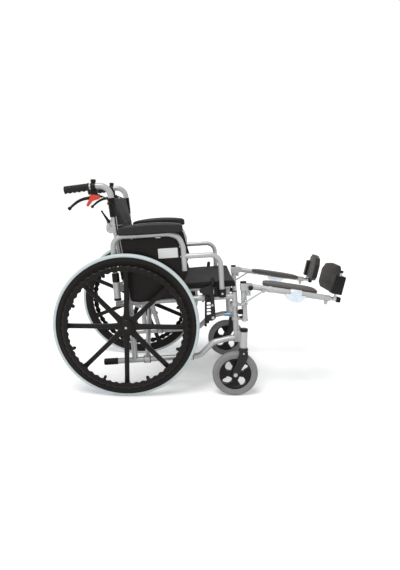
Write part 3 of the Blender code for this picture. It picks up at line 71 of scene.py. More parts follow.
def camera_axes(yaw, pitch, roll):
    """Right, up and backward vectors: yaw turns from +Y, pitch looks down, roll turns the frame."""
    ahead = np.array([math.sin(yaw) * math.cos(pitch), math.cos(yaw) * math.cos(pitch), -math.sin(pitch)])
    level_right = np.array([math.cos(yaw), -math.sin(yaw), 0.0])
    level_up = np.cross(level_right, ahead)
    right = math.cos(roll) * level_right + math.sin(roll) * level_up
    return right, np.cross(right, ahead), -ahead


camera = bpy.data.objects.new("camera", bpy.data.cameras.new("camera"))
bpy.context.scene.collection.objects.link(camera)
camera.data.lens = FOCAL_PIXELS / FRAME_PIXELS * SENSOR_MM
camera.data.sensor_width = SENSOR_MM
turn = Matrix(camera_axes(CAMERA_YAW, CAMERA_PITCH, CAMERA_ROLL)).transposed().to_4x4()
camera.matrix_world = Matrix.Translation(CAMERA_PLACE) @ turn
bpy.context.scene.camera = camera
print("camera lens", round(camera.data.lens, 2), "mm")

# %% [markdown]
# The picture has a white sweep with a soft shadow. Light for the object comes from a plain sky and
# one broad sun. What the camera sees behind the chair, and what its metal mirrors, is a separate
# white.

# %% Lights and world
SKY_LIGHT = 0.52
SUN_LIGHT = 1.90

world = bpy.data.worlds.new("studio")
bpy.context.scene.world = world
world.use_nodes = True
world.node_tree.nodes.clear()


def world_node(kind, **sockets):
    node = world.node_tree.nodes.new(kind)
    for name, value in sockets.items():
        socket = node.inputs[name]
        if isinstance(value, bpy.types.NodeSocket):
            world.node_tree.links.new(value, socket)
        else:
            socket.default_value = value
    return node


ray = world_node("ShaderNodeLightPath")
seen = ray.outputs["Is Camera Ray"]
for kind in ("Is Glossy Ray", "Is Transmission Ray"):
    either = world_node("ShaderNodeMath")
    either.operation = "MAXIMUM"
    world.node_tree.links.new(seen, either.inputs[0])
    world.node_tree.links.new(ray.outputs[kind], either.inputs[1])
    seen = either.outputs[0]
lit = world_node("ShaderNodeBackground", Color=(0.97, 0.985, 1.0, 1.0), Strength=SKY_LIGHT)
shown = world_node("ShaderNodeBackground", Color=(1.0, 1.0, 1.0, 1.0), Strength=1.0)
both = world_node("ShaderNodeMixShader")
world.node_tree.links.new(seen, both.inputs[0])
world.node_tree.links.new(lit.outputs[0], both.inputs[1])
world.node_tree.links.new(shown.outputs[0], both.inputs[2])
ground = world_node("ShaderNodeOutputWorld")
world.node_tree.links.new(both.outputs[0], ground.inputs["Surface"])


def sun(name, strength, toward, spread_degrees):
    """A far lamp that shines along a direction, with a wide disc for soft shadows."""
    lamp = bpy.data.lights.new(name, "SUN")
    lamp.energy = strength
    lamp.angle = math.radians(spread_degrees)
    item = bpy.data.objects.new(name, lamp)
    bpy.context.scene.collection.objects.link(item)
    ahead = np.array(toward) / np.linalg.norm(toward)
    side = np.cross(ahead, (0, 0, 1))
    side /= np.linalg.norm(side)
    item.matrix_world = Matrix((side, np.cross(side, ahead), -ahead)).transposed().to_4x4()
    return item


sun("key_light", SUN_LIGHT, (0.25, 0.45, -1.0), 30)
bpy.context.scene.view_settings.view_transform = "Standard"
print("lights: sky", SKY_LIGHT, "and sun", SUN_LIGHT)

# %% [markdown]
# Shader maths reads best as plain sums. A Flow wraps one output of a node, and each sum on it adds
# a Math node. A Finish is one material: its node method adds any other node, with settings first
# and then the values or links of its sockets.

# %% Shader helpers


class Flow:
    """One output of a node. Plus and times on it add Math nodes."""

    def __init__(self, finish, socket):
        self.finish = finish
        self.socket = socket

    def sum(self, operation, *others):
        values = dict(enumerate((self, *others)))
        return self.finish.node("ShaderNodeMath", {"operation": operation}, values)

    def __add__(self, other):
        return self.sum("ADD", other)

    def __mul__(self, other):
        return self.sum("MULTIPLY", other)

    __radd__ = __add__
    __rmul__ = __mul__

    def sine(self):
        return self.sum("SINE")

    def over(self, low, high):
        """0 below low, 1 above high, and straight between."""
        settings = {"data_type": "FLOAT", "clamp": True}
        limits = {"Value": self, "From Min": low, "From Max": high}
        return self.finish.node("ShaderNodeMapRange", settings, limits)


class Finish:
    """A material built from its Principled shader outwards."""

    def __init__(self, name, **sockets):
        self.material = bpy.data.materials.new(name)
        self.material.use_nodes = True
        self.tree = self.material.node_tree
        self.shader = self.tree.nodes["Principled BSDF"]
        self.feed(self.shader, sockets)

    def feed(self, node, sockets):
        for key, value in sockets.items():
            socket = node.inputs[key.replace("_", " ") if isinstance(key, str) else key]
            if isinstance(value, Flow):
                self.tree.links.new(value.socket, socket)
            elif isinstance(value, tuple) and len(value) == 3 and socket.type == "RGBA":
                socket.default_value = (*value, 1.0)
            else:
                socket.default_value = value

    def node(self, kind, settings=None, sockets=None, output=0):
        made = self.tree.nodes.new(kind)
        for name, value in (settings or {}).items():
            setattr(made, name, value)
        self.feed(made, sockets or {})
        return Flow(self, made.outputs[output])

    def place(self, stretch=(1.0, 1.0, 1.0)):
        """The point on the object, stretched along its axes."""
        point = self.node("ShaderNodeTexCoord", output="Object")
        return self.node("ShaderNodeMapping", None, {"Vector": point, "Scale": stretch})

    def noise(self, scale, detail=2.0, stretch=(1.0, 1.0, 1.0)):
        sockets = {"Vector": self.place(stretch), "Scale": scale, "Detail": detail}
        return self.node("ShaderNodeTexNoise", None, sockets, "Fac")

    def cells(self, scale):
        """How far a point is from the edges of a random cell pattern."""
        settings = {"feature": "DISTANCE_TO_EDGE"}
        sockets = {"Vector": self.place(), "Scale": scale}
        return self.node("ShaderNodeTexVoronoi", settings, sockets, "Distance")

    def blend(self, share, first, second):
        settings = {"data_type": "RGBA", "clamp_factor": True}
        sockets = {0: share, 6: first, 7: second}
        return self.node("ShaderNodeMix", settings, sockets, 2)

    def bump(self, height, depth, strength=1.0):
        """Feeds a height, from 0 to 1, that is depth metres tall."""
        sockets = {"Height": height, "Distance": depth, "Strength": strength}
        self.feed(self.shader, {"Normal": self.node("ShaderNodeBump", None, sockets)})

    def paint(self, **sockets):
        self.feed(self.shader, sockets)
        return self


print("shader helpers ready")

# %% [markdown]
# Silver parts are steel tube with a metallic powder coat. Powder flows into a faint orange peel and
# holds small bright flakes. A plain grey would look like plastic, so the coat gets a share of a
# metal's reflection, cloudy colour, dull handled patches and a fine bump.

# %% Silver powder coat
silver = Finish("silver_tube", Metallic=0.30, Specular_IOR_Level=0.4)
clouds = silver.noise(7.0, 3.0)
flakes = silver.noise(2600.0, 1.0)
handled = silver.noise(38.0, 4.0).over(0.58, 0.72)
tone = silver.blend(clouds.over(0.3, 0.7), (0.43, 0.43, 0.425), (0.51, 0.51, 0.505))
tone = silver.blend(flakes.over(0.62, 0.80) * 0.5, tone, (0.72, 0.72, 0.71))
silver.paint(Base_Color=silver.blend(handled * 0.35, tone, (0.34, 0.335, 0.325)))
silver.paint(Roughness=silver.noise(90.0, 2.0) * 0.10 + handled * 0.12 + 0.30)
silver.bump(silver.noise(420.0, 1.0), 0.00012)
print("silver powder coat")

# %% [markdown]
# Bolts and struts are zinc plated. Zinc is a real metal surface with a cool tint, drawn along one
# way by the mill, so its roughness runs in streaks. The calf clamp has the same plate, drawn in a
# paler, bluish copy whose extra brightness is painted light, for the reflection it shows. The barrel
# on the front post has a bluer plate.

# %% Zinc plate
zinc = Finish("zinc", Metallic=0.95)
streaks = zinc.noise(60.0, 3.0, (1.0, 14.0, 14.0))
bloom = zinc.noise(45.0, 4.0).over(0.45, 0.75)
zinc.paint(Base_Color=zinc.blend(bloom * 0.6, (0.46, 0.48, 0.50), (0.31, 0.33, 0.36)))
zinc.paint(Roughness=streaks * 0.20 + bloom * 0.12 + 0.18)
zinc.bump(streaks, 0.00005)


def plated(name, clear, cloudy, roughness):
    """A plated finish of another tint: two tones in soft clouds, with fine streaks."""
    made = Finish(name, Metallic=0.85)
    cloud = made.noise(45.0, 4.0).over(0.45, 0.75)
    drawn = made.noise(60.0, 3.0, (1.0, 14.0, 14.0))
    made.paint(Base_Color=made.blend(cloud * 0.6, clear, cloudy), Roughness=drawn * 0.2 + roughness)
    made.bump(drawn, 0.00005)
    return made


# The calf clamp's copy of the zinc: paler and bluish, its extra brightness painted light for the reflection
# the clamp shows.
zinc_with_painted_light = plated("zinc_with_painted_light", (0.70, 0.77, 0.82), (0.58, 0.65, 0.71), 0.22)
blue_zinc = plated("blue_zinc", (0.17, 0.25, 0.33), (0.11, 0.16, 0.22), 0.24)
print("zinc plate in three tints")

# %% [markdown]
# The wheel lock and the caster forks are steel with a semi-gloss black coat. It has a light skin
# of dust and small rubbed specks.

# %% Black coat on steel
black_steel = Finish("black_steel", Specular_IOR_Level=0.25, Coat_Weight=0.08)
specks = black_steel.noise(340.0, 2.0).over(0.70, 0.76)
dust = black_steel.noise(26.0, 4.0).over(0.40, 0.80)
tone = black_steel.blend(dust * 0.5, (0.009, 0.009, 0.010), (0.024, 0.022, 0.021))
black_steel.paint(Base_Color=black_steel.blend(specks * 0.3, tone, (0.11, 0.105, 0.10)))
black_steel.paint(Roughness=dust * 0.16 + 0.30)
black_steel.bump(black_steel.noise(500.0, 1.0), 0.00008)
print("black coat")

# %% [markdown]
# Wheels, hand rims, side panels and foot plates are moulded from glass-filled nylon. Its black is a
# warm brown-black with a sparked grain, cloudy flow marks and pale rubbed spots.

# %% Moulded black plastic


def moulded(name, dark, light, roughness, grain, gloss=0.18):
    """A moulded plastic: flow clouds between two tones, a spark grain and rubbed spots."""
    made = Finish(name, Specular_IOR_Level=gloss)
    flow = made.noise(9.0, 4.0).over(0.30, 0.72)
    rubbed = made.noise(70.0, 5.0).over(0.66, 0.80)
    tone = made.blend(flow, dark, light)
    pale = tuple(min(1.0, channel * 1.9 + 0.010) for channel in light)
    made.paint(Base_Color=made.blend(rubbed * 0.30, tone, pale))
    made.paint(Roughness=flow * 0.10 + rubbed * 0.10 + roughness)
    made.bump(made.noise(grain, 2.0), 0.00018)
    return made


black_plastic = moulded("black_plastic", (0.0060, 0.0045, 0.0038), (0.0115, 0.0090, 0.0078), 0.33, 620.0)
foot_plastic = moulded("foot_plastic", (0.022, 0.0175, 0.0155), (0.038, 0.031, 0.028), 0.44, 480.0)
red_plastic = moulded("red_plastic", (0.62, 0.034, 0.014), (0.76, 0.055, 0.022), 0.28, 700.0, 0.5)
cable_black = moulded("cable_black", (0.008, 0.008, 0.008), (0.014, 0.014, 0.014), 0.34, 900.0)
white_plate = moulded("white_plate", (0.80, 0.80, 0.79), (0.86, 0.86, 0.85), 0.32, 500.0, 0.5)
print("moulded plastics")

# %% [markdown]
# The drive wheels have pale blue-grey solid tyres and the casters darker grey ones. Rubber is
# nearly all diffuse. Slow noise gives it dirty patches and fine noise a dull grain.

# %% Rubber


def rubber(name, clean, dirty, roughness):
    made = Finish(name, Specular_IOR_Level=0.22)
    worn = made.noise(24.0, 5.0).over(0.42, 0.74)
    fine = made.noise(520.0, 2.0)
    made.paint(Base_Color=made.blend(worn * 0.55, clean, dirty))
    made.paint(Roughness=fine * 0.12 + worn * 0.08 + roughness)
    made.bump(fine, 0.00020)
    return made


grey_tyre = rubber("grey_tyre", (0.60, 0.67, 0.68), (0.50, 0.555, 0.56), 0.60)
caster_rubber = rubber("caster_rubber", (0.245, 0.238, 0.243), (0.200, 0.190, 0.190), 0.50)
grip_rubber = rubber("grip_rubber", (0.013, 0.012, 0.011), (0.026, 0.024, 0.022), 0.52)
print("rubbers")

# %% [markdown]
# Arm pads and calf pads are self-skinned foam. The skin copies a leather grain from the mould:
# small cells with rounded tops and thin creases, and longer soft wrinkles over them.

# %% Grained foam skin


def grained(name, dark, light, roughness):
    """Cell edges make the creases, and slow noise makes the wrinkles."""
    made = Finish(name, Specular_IOR_Level=0.3, Coat_Weight=0.04)
    creases = made.cells(430.0).over(0.0, 0.22)
    wrinkles = made.noise(46.0, 3.0)
    made.paint(Base_Color=made.blend(creases * 0.6 + wrinkles * 0.4, dark, light))
    made.paint(Roughness=made.noise(30.0, 3.0) * 0.14 + roughness)
    made.bump(creases * 0.7 + wrinkles * 0.9, 0.00030)
    return made


pad_skin = grained("pad_skin", (0.007, 0.0066, 0.0066), (0.014, 0.0130, 0.0125), 0.30)
# The calf pads' skin is a brown-grey drawn far lighter than the arm pads' black. That extra lightness is
# painted light, for the light falling on their tops.
calf_skin_painted_light = grained("calf_skin_painted_light", (0.055, 0.047, 0.042), (0.095, 0.082, 0.073), 0.46)
print("foam skins")

# %% [markdown]
# Seat and back are woven nylon. Two crossed sets of threads give a checker of small humps. Sines of
# the cloth's own map, which is in metres, draw the threads at their real pitch whatever way the
# cloth runs.

# %% Woven nylon
THREAD = 0.0016

nylon = Finish("black_nylon", Sheen_Weight=0.05, Sheen_Roughness=0.5, Specular_IOR_Level=0.15)
cloth_map = nylon.node("ShaderNodeUVMap", {"uv_map": "cloth"})
across = nylon.node("ShaderNodeSeparateXYZ", None, {0: cloth_map}, 0)
along = nylon.node("ShaderNodeSeparateXYZ", None, {0: cloth_map}, 1)
warp = (across * (2 * math.pi / THREAD)).sine()
weft = (along * (2 * math.pi / THREAD)).sine()
checker = (warp * weft).over(-1.0, 1.0)
fade = nylon.noise(12.0, 4.0).over(0.35, 0.75)
tone = nylon.blend(checker, (0.005, 0.0044, 0.0042), (0.012, 0.0106, 0.0100))
nylon.paint(Base_Color=nylon.blend(fade * 0.40, tone, (0.016, 0.0140, 0.0130)))
nylon.paint(Roughness=checker * 0.10 + 0.66)
nylon.bump(checker, 0.00025)
print("woven nylon")

FINISHES = {
    "silver_tube": silver, "zinc": zinc, "black_steel": black_steel, "black_plastic": black_plastic,
    "red_plastic": red_plastic, "cable_black": cable_black, "grey_tyre": grey_tyre,
    "caster_rubber": caster_rubber, "grip_rubber": grip_rubber, "pad_skin": pad_skin,
    "black_nylon": nylon,
}

# %% [markdown]
# Places on the chair are given as on a workshop drawing. The seat rails lean back 4.5 degrees, so u
# runs forward along them, w runs up the posts, and d is the distance out from the middle plane.
# Other pieces use level places: x ahead of the axle and z up from a line just above the floor.

# %% Places on the chair
AXLE_X = -0.3131
WHEEL_R = 0.3125
DRAWN_AXLE_Z = 0.305
LIFT = WHEEL_R - DRAWN_AXLE_Z
SEAT_TILT = math.radians(4.5)
LEG_DROP = math.radians(7.8)
KNEE_U, KNEE_W = 0.541, 0.131


def point(x, y, z):
    """Arrays of x, y and z as one array of points."""
    return np.stack(np.broadcast_arrays(x, y, z), axis=-1).astype(float)


def at(u, w, d):
    """Leaning place: u forward along the seat rail, w up the posts, d outwards on the right."""
    cosine, sine = math.cos(SEAT_TILT), math.sin(SEAT_TILT)
    u, w, d = (np.asarray(value, float) for value in (u, w, d))
    return point(AXLE_X + u * cosine - w * sine, -d, WHEEL_R + u * sine + w * cosine)


def level(x, z, d):
    """Level place: x ahead of the axle, z up from a line DRAWN_AXLE_Z under it, d outwards."""
    return point(AXLE_X + np.asarray(x, float), -np.asarray(d, float), LIFT + np.asarray(z, float))


def wheel(a, b, d):
    """Place on the drive wheel: a forward and b up from its axle, d outwards."""
    return level(a, DRAWN_AXLE_Z + np.asarray(b, float), d)


def leg(a, b, d):
    """Place on the leg rest: a along the leg tube from the knee, b above it, d outwards."""
    knee = at(KNEE_U, KNEE_W, 0.0)
    cosine, sine = math.cos(LEG_DROP), math.sin(LEG_DROP)
    a, b = np.asarray(a, float), np.asarray(b, float)
    return point(knee[0] + a * cosine + b * sine, -np.asarray(d, float), knee[2] - a * sine + b * cosine)


print("axle at", wheel(0, 0, 0).round(4), "knee at", leg(0, 0, 0).round(4))

# %% [markdown]
# Nearly everything here is one of four surfaces, each a grid of points worked out at once: a tube
# swept along a line, a profile turned about an axis, a flat outline with rounded edges, and a
# cushion from rounded coordinates. Each returns its points and its faces.

# %% Surfaces


def skin(rings, loop=False, ends=True):
    """Faces between rings of points: each ring joins the next, and the two end rings are filled."""
    rows, columns = rings.shape[:2]
    index = np.arange(rows * columns).reshape(rows, columns)
    if loop:
        index = np.vstack([index, index[:1]])
    here, beside = index, np.roll(index, -1, axis=1)
    quads = np.stack([here[:-1], beside[:-1], beside[1:], here[1:]], axis=-1).reshape(-1, 4)
    faces = quads.tolist()
    if ends and not loop:
        faces += [index[0][::-1].tolist(), index[-1].tolist()]
    return rings.reshape(-1, 3), faces


def bent(corners, radius, steps=8, closed=False):
    """The line through the corners, with an arc of the radius tangent to both sides of each."""
    corners = np.asarray(corners, float)
    line = []
    for index, corner in enumerate(corners):
        if not closed and index in (0, len(corners) - 1):
            line.append(corner[None])
            continue
        back, ahead = corners[index - 1] - corner, corners[(index + 1) % len(corners)] - corner
        back_length, ahead_length = np.linalg.norm(back), np.linalg.norm(ahead)
        back, ahead = back / back_length, ahead / ahead_length
        half = math.acos(float(np.clip(back @ ahead, -1, 1))) / 2
        if half > math.pi / 2 - 0.01:
            line.append(corner[None])
            continue
        reach = min(radius / math.tan(half), 0.49 * back_length, 0.49 * ahead_length)
        middle = (back + ahead) / np.linalg.norm(back + ahead)
        centre = corner + middle * (reach * math.tan(half) / math.sin(half))
        first, last = corner + back * reach - centre, corner + ahead * reach - centre
        angle = math.pi - 2 * half
        share = np.linspace(0, 1, steps + 1)[:, None]
        arc = first * np.sin((1 - share) * angle) + last * np.sin(share * angle)
        line.append(centre + arc / math.sin(angle))
    return np.vstack(line)


def flowing(points, count):
    """An even Catmull-Rom curve through the points, each span a cubic of its four neighbours."""
    points = np.asarray(points, float)
    knots = np.vstack([2 * points[0] - points[1], points, 2 * points[-1] - points[-2]])
    places = np.linspace(0, len(points) - 1, count)
    spans = np.minimum(places.astype(int), len(points) - 2)
    t = (places - spans)[:, None]
    a, b, c, d = (knots[spans + shift] for shift in range(4))
    return (2 * b + (c - a) * t + (2 * a - 5 * b + 4 * c - d) * t**2 + (3 * b - a - 3 * c + d) * t**3) / 2


def around(path, across):
    """Two unit vectors square to the path at each point, the first as near to across as can be."""
    run = np.gradient(path, axis=0)
    run /= np.linalg.norm(run, axis=1, keepdims=True)
    side = np.asarray(across, float) - run * (run @ np.asarray(across, float))[:, None]
    side /= np.linalg.norm(side, axis=1, keepdims=True)
    return side, np.cross(run, side)


def sweep(path, radius, sides=20, across=(0, 1, 0), tall=1.0, loop=False):
    """A tube: a circle of the radius at each point of the path, square to it. Tall stretches it."""
    path = np.asarray(path, float)
    side, lift = around(path, across)
    angle = np.linspace(0, 2 * math.pi, sides, endpoint=False)
    radius = np.broadcast_to(radius, len(path))[:, None, None]
    ring = np.cos(angle)[None, :, None] * side[:, None] + tall * np.sin(angle)[None, :, None] * lift[
        :, None,
    ]
    return skin(path[:, None] + radius * ring, loop=loop)


def peg(start, end, radius, lip=0.0008, sides=24):
    """A straight bar with both rims rounded by a quarter circle of the lip."""
    start, end = np.asarray(start, float), np.asarray(end, float)
    length = np.linalg.norm(end - start)
    quarter = np.linspace(0, math.pi / 2, 4)
    near = lip * (1 - np.cos(quarter))
    place = np.concatenate([near, length - near[::-1]])
    drop = lip * (1 - np.sin(quarter))
    size = radius - np.concatenate([drop, drop[::-1]])
    path = start + (end - start) * (place / length)[:, None]
    run = (end - start) / length
    across = (0, 1, 0) if abs(run[1]) < 0.8 else (1, 0, 0)
    side = np.cross(run, np.cross(across, run))
    side /= np.linalg.norm(side)
    lift = np.cross(run, side)
    angle = np.linspace(0, 2 * math.pi, sides, endpoint=False)
    ring = np.cos(angle)[:, None] * side + np.sin(angle)[:, None] * lift
    return skin(path[:, None] + size[:, None, None] * ring)


def pin(u, w, near, far, radius, lip=0.0008, sides=24):
    """A peg straight outwards through a leaning place."""
    return peg(at(u, w, near), at(u, w, far), radius, lip, sides)


def bar(low_u, high_u, w, d, radius, lip=0.0008, sides=24):
    """A peg along the seat rail's direction."""
    return peg(at(low_u, w, d), at(high_u, w, d), radius, lip, sides)


def stud(u, low_w, high_w, d, radius, lip=0.0008, sides=24):
    """A peg up the posts' direction."""
    return peg(at(u, low_w, d), at(u, high_w, d), radius, lip, sides)


def turned(profile, place, steps=64, loop=False, ripple=None):
    """A profile of (radius, height) points turned about the third axis of the place.

    A ripple is a function of the angle and the profile that adds to the radius.
    """
    profile = np.asarray(profile, float)
    angle = np.linspace(0, 2 * math.pi, steps, endpoint=False)
    radius = np.broadcast_to(profile[:, 0, None], (len(profile), steps))
    height = np.broadcast_to(profile[:, 1, None], (len(profile), steps))
    if ripple is not None:
        radius, height = ripple(radius, height, angle[None])
    rings = place(radius * np.cos(angle), radius * np.sin(angle), height)
    return skin(rings, loop=loop, ends=not loop)


def rounded_profile(corners, radius, steps=4, closed=True):
    """A profile with its corners rounded."""
    return bent(corners, radius, steps, closed)


def slab(outline, low, high, place, lip=0.0008):
    """A flat plate: the outline at both faces, drawn in by a quarter circle of the lip at each rim."""
    outline = np.asarray(outline, float)
    ahead = np.roll(outline, -1, axis=0) - outline
    normal = np.stack([ahead[:, 1], -ahead[:, 0]], axis=1)
    normal /= np.linalg.norm(normal, axis=1, keepdims=True)
    corner = normal + np.roll(normal, 1, axis=0)
    corner /= np.maximum(np.linalg.norm(corner, axis=1, keepdims=True), 0.3)
    x, y = outline.T
    area = np.sum(x * np.roll(y, -1) - y * np.roll(x, -1))
    corner *= math.copysign(1.0, area)
    quarter = np.linspace(0, math.pi / 2, 4)
    height = np.concatenate([low + lip * (1 - np.cos(quarter)), high - lip * (1 - np.cos(quarter[::-1]))])
    inset = lip * (1 - np.sin(quarter))
    inset = np.concatenate([inset, inset[::-1]])
    flat = outline[None] - corner[None] * inset[:, None, None]
    rings = place(flat[..., 0], flat[..., 1], height[:, None])
    return skin(rings)


def block(low, high, place, lip=0.0012):
    """A box with rounded corners and rims, between two corners of the place's axes."""
    (a, b, c), (x, y, z) = low, high
    corners = [(a, b), (x, b), (x, y), (a, y)]
    return slab(bent(corners, lip * 1.6, 4, True), c, z, place, lip)


def strap(start, end, wide, thick, lip=0.0008, up=(0, 0, 1)):
    """A flat bar from start to end: wide across it and thick along the up direction."""
    start, end = np.asarray(start, float), np.asarray(end, float)
    run = (end - start) / np.linalg.norm(end - start)
    side = np.cross(up, run)
    side /= np.linalg.norm(side)
    top = np.cross(run, side)
    middle = (start + end) / 2

    def place(a, b, c):
        a, b, c = np.broadcast_arrays(a, b, c)
        return middle + a[..., None] * run + b[..., None] * side + c[..., None] * top

    half = np.linalg.norm(end - start) / 2
    return block((-half, -wide / 2, -thick / 2), (half, wide / 2, thick / 2), place, lip)


def bead(centre, run, across, radius, size=0.0016):
    """The weld where a tube along run meets an equal tube: a saddle line with a rippled bead on it."""
    run, across = np.asarray(run, float), np.asarray(across, float)
    third = np.cross(run, across)
    angle = np.linspace(0, 2 * math.pi, 72, endpoint=False)
    deep = np.sqrt(np.maximum(radius**2 - (radius * np.sin(angle)) ** 2, 0))
    line = centre + deep[:, None] * run + radius * (
        np.cos(angle)[:, None] * across + np.sin(angle)[:, None] * third
    )
    ahead = np.roll(line, -1, axis=0) - np.roll(line, 1, axis=0)
    ahead /= np.linalg.norm(ahead, axis=1, keepdims=True)
    side = np.cross(ahead, run)
    side /= np.maximum(np.linalg.norm(side, axis=1, keepdims=True), 1e-9)
    lift = np.cross(ahead, side)
    turn = np.linspace(0, 2 * math.pi, 8, endpoint=False)
    ripple = size * (1 + 0.12 * np.sin(24 * angle))
    ring = np.cos(turn)[None, :, None] * side[:, None] + np.sin(turn)[None, :, None] * lift[:, None]
    return skin(line[:, None] + ripple[:, None, None] * ring, loop=True)


def cushion(low, high, place, corner=0.3, edge=0.5, crown=0.0, seam=0.0, rows=48, columns=96):
    """A padded block: the cosines and sines of a sphere, raised to a power, fill its corners.

    Corner is the power seen from above and edge the power of its thickness. Crown lifts the middle
    of the upper face, and seam is the depth of a groove round its waist.
    """
    low, high = np.asarray(low, float), np.asarray(high, float)
    rise = np.linspace(-math.pi / 2, math.pi / 2, rows)[:, None]
    spin = np.linspace(0, 2 * math.pi, columns, endpoint=False)[None]
    power = lambda value, n: np.sign(value) * np.abs(value) ** n
    flat = power(np.cos(rise), edge)
    pull = 1 - seam * np.exp(-((rise / 0.05) ** 2))
    x = flat * power(np.cos(spin), corner) * pull
    y = flat * power(np.sin(spin), corner) * pull
    z = power(np.sin(rise), edge) + 0 * spin
    z = z + crown * (z > 0) * (1 - x**2) * (1 - y**2)
    middle, half = (low + high) / 2, (high - low) / 2
    return skin(
        place(middle[0] + half[0] * x, middle[1] + half[1] * y, middle[2] + half[2] * z), ends=False,
    )


print("surfaces ready")

# %% [markdown]
# The left side is the right side's mirror image. A mirrored mesh is inside out, so its normals are
# worked out again after its doubles are merged. Each piece then rides on its body, stands for its
# solids and takes its finish from its slot.

# %% Making pieces
SHARP = math.radians(38)
SIDES = (("right", False), ("left", True))


def into_object(name, shells, finish, mirror=False, spin=0.0, uvs=None):
    """One mesh object from several closed surfaces, with its place in its vertices."""
    points = np.vstack([shell[0] for shell in shells])
    faces, start = [], 0
    for shell_points, shell_faces in shells:
        faces += [[index + start for index in face] for face in shell_faces]
        start += len(shell_points)
    if mirror:
        points = points * np.array([1, -1, 1])
    if spin:
        hub = wheel(0, 0, 0)
        x, z = points[:, 0] - hub[0], points[:, 2] - hub[2]
        points[:, 0] = hub[0] + x * math.cos(spin) - z * math.sin(spin)
        points[:, 2] = hub[2] + x * math.sin(spin) + z * math.cos(spin)
    mesh = bpy.data.meshes.new(name)
    mesh.from_pydata(points.tolist(), [], faces)
    if uvs is not None:
        corners = np.empty(len(mesh.loops), np.int32)
        mesh.loops.foreach_get("vertex_index", corners)
        layer = mesh.uv_layers.new(name="cloth")
        layer.data.foreach_set("uv", np.asarray(uvs, np.float32)[corners].ravel())
    shape = bmesh.new()
    shape.from_mesh(mesh)
    bmesh.ops.remove_doubles(shape, verts=shape.verts, dist=1e-6)
    bmesh.ops.recalc_face_normals(shape, faces=shape.faces)
    shape.to_mesh(mesh)
    shape.free()
    mesh.shade_smooth()
    mesh.set_sharp_from_angle(angle=SHARP)
    mesh.materials.append(finish.material)
    item = bpy.data.objects.new(name, mesh)
    bpy.context.scene.collection.objects.link(item)
    return item


def dress(name, shells, body, slot, nodes=(), finish=None, **options):
    """A piece that rides on its body, stands for its CAD nodes and takes its finish from its slot."""
    item = into_object(name, shells, finish or FINISHES[slot], **options)
    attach(item, body)
    if nodes:
        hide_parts(*nodes)
    return item


def pair(name, shells, body, slot, nodes=(), finish=None, far_spin=0.0):
    """The same piece on both sides of the chair."""
    made = []
    for side, mirror in SIDES:
        names = [f"{node}_{side}" for node in nodes]
        spin = far_spin if mirror else 0.0
        made.append(
            dress(f"{name}_{side}", shells, f"{body}_{side}", slot, names, finish, mirror=mirror, spin=spin)
        )
    print(name, "both sides,", len(made[0].data.polygons), "faces each")
    return made


# %% [markdown]
# The side frame is bent and welded 25 mm tube: the lower rail with its S-bend, the rear post that
# runs up into the back cane, the upper rail and the front post. Swept circles give true round
# tubes, and a saddle-shaped bead at each joint is what a welder leaves.

# %% Side frame tubes
TUBE_R = 0.0125
FRAME_D = 0.232
UPPER_W, LOWER_W = 0.090, -0.172
REAR_U, FRONT_U = 0.015, 0.472
CANE_HINGE_U, CANE_HINGE_W = -0.021, 0.425
CANE_TOP_U, CANE_TOP_W = -0.0255, 0.5426
HINGE_U = CANE_HINGE_U - 0.025
ARM_D = 0.262
DESK_U = 0.4175
SWIVEL_X = 0.505
CASTER_D = 0.275


def side_line(corners, radius, d=FRAME_D, steps=10):
    """A bent line in the side view, at a distance out from the middle."""
    flat = bent(corners, radius, steps)
    return at(flat[:, 0], flat[:, 1], d)


rail = side_line(
    [(-0.117, LOWER_W), (0.304, LOWER_W), (0.366, -0.113), (0.440, -0.100), (0.470, -0.100)], 0.050,
)
cane = side_line([(REAR_U, LOWER_W), (REAR_U, 0.060), (CANE_HINGE_U, CANE_HINGE_W - 0.002)], 0.30)
upper_rail = at([-0.045, 0.470], [UPPER_W, UPPER_W], FRAME_D)
front_post = at([FRONT_U] * 2, [-0.1155, 0.1095], FRAME_D)
forward = at(1, 0, 0) - at(0, 0, 0)
upward = at(0, 1, 0) - at(0, 0, 0)
outward = np.array([0.0, -1.0, 0.0])
tubes = [sweep(line, TUBE_R, 28) for line in (rail, cane, upper_rail, front_post)]
welds = [
    bead(at(REAR_U, UPPER_W, FRAME_D), forward, outward, TUBE_R),
    bead(at(REAR_U, UPPER_W, FRAME_D), -forward, outward, TUBE_R),
    bead(at(REAR_U, LOWER_W, FRAME_D), upward, outward, TUBE_R),
    bead(at(FRONT_U, UPPER_W, FRAME_D), -forward, outward, TUBE_R),
    bead(at(FRONT_U, -0.100, FRAME_D), -forward, outward, TUBE_R),
]
sleeve = pin(0, 0, 0.2150, 0.2475, 0.016, 0.0008, 32)
sleeve_arm = strap(at(0.0, 0, 0.231), at(REAR_U, 0, 0.231), 0.020, 0.024, up=upward)
end_ring = bar(-0.046, -0.043, UPPER_W, FRAME_D, TUBE_R + 0.0012)
print("frame tubes:", len(tubes), "tubes,", len(welds), "welds")

# %% [markdown]
# Brackets stand on those tubes: two arm sockets, the caster's bearing housing on its gusset, and
# the pressed cheeks of the cane hinge. They are separate surfaces in the same mesh, because they
# are welded and painted together.

# %% Sockets, caster housing and hinge cheeks


def housing_place(a, b, d):
    return level(
        SWIVEL_X + np.asarray(a, float), 0.2105 + np.asarray(d, float), CASTER_D + np.asarray(b, float),
    )


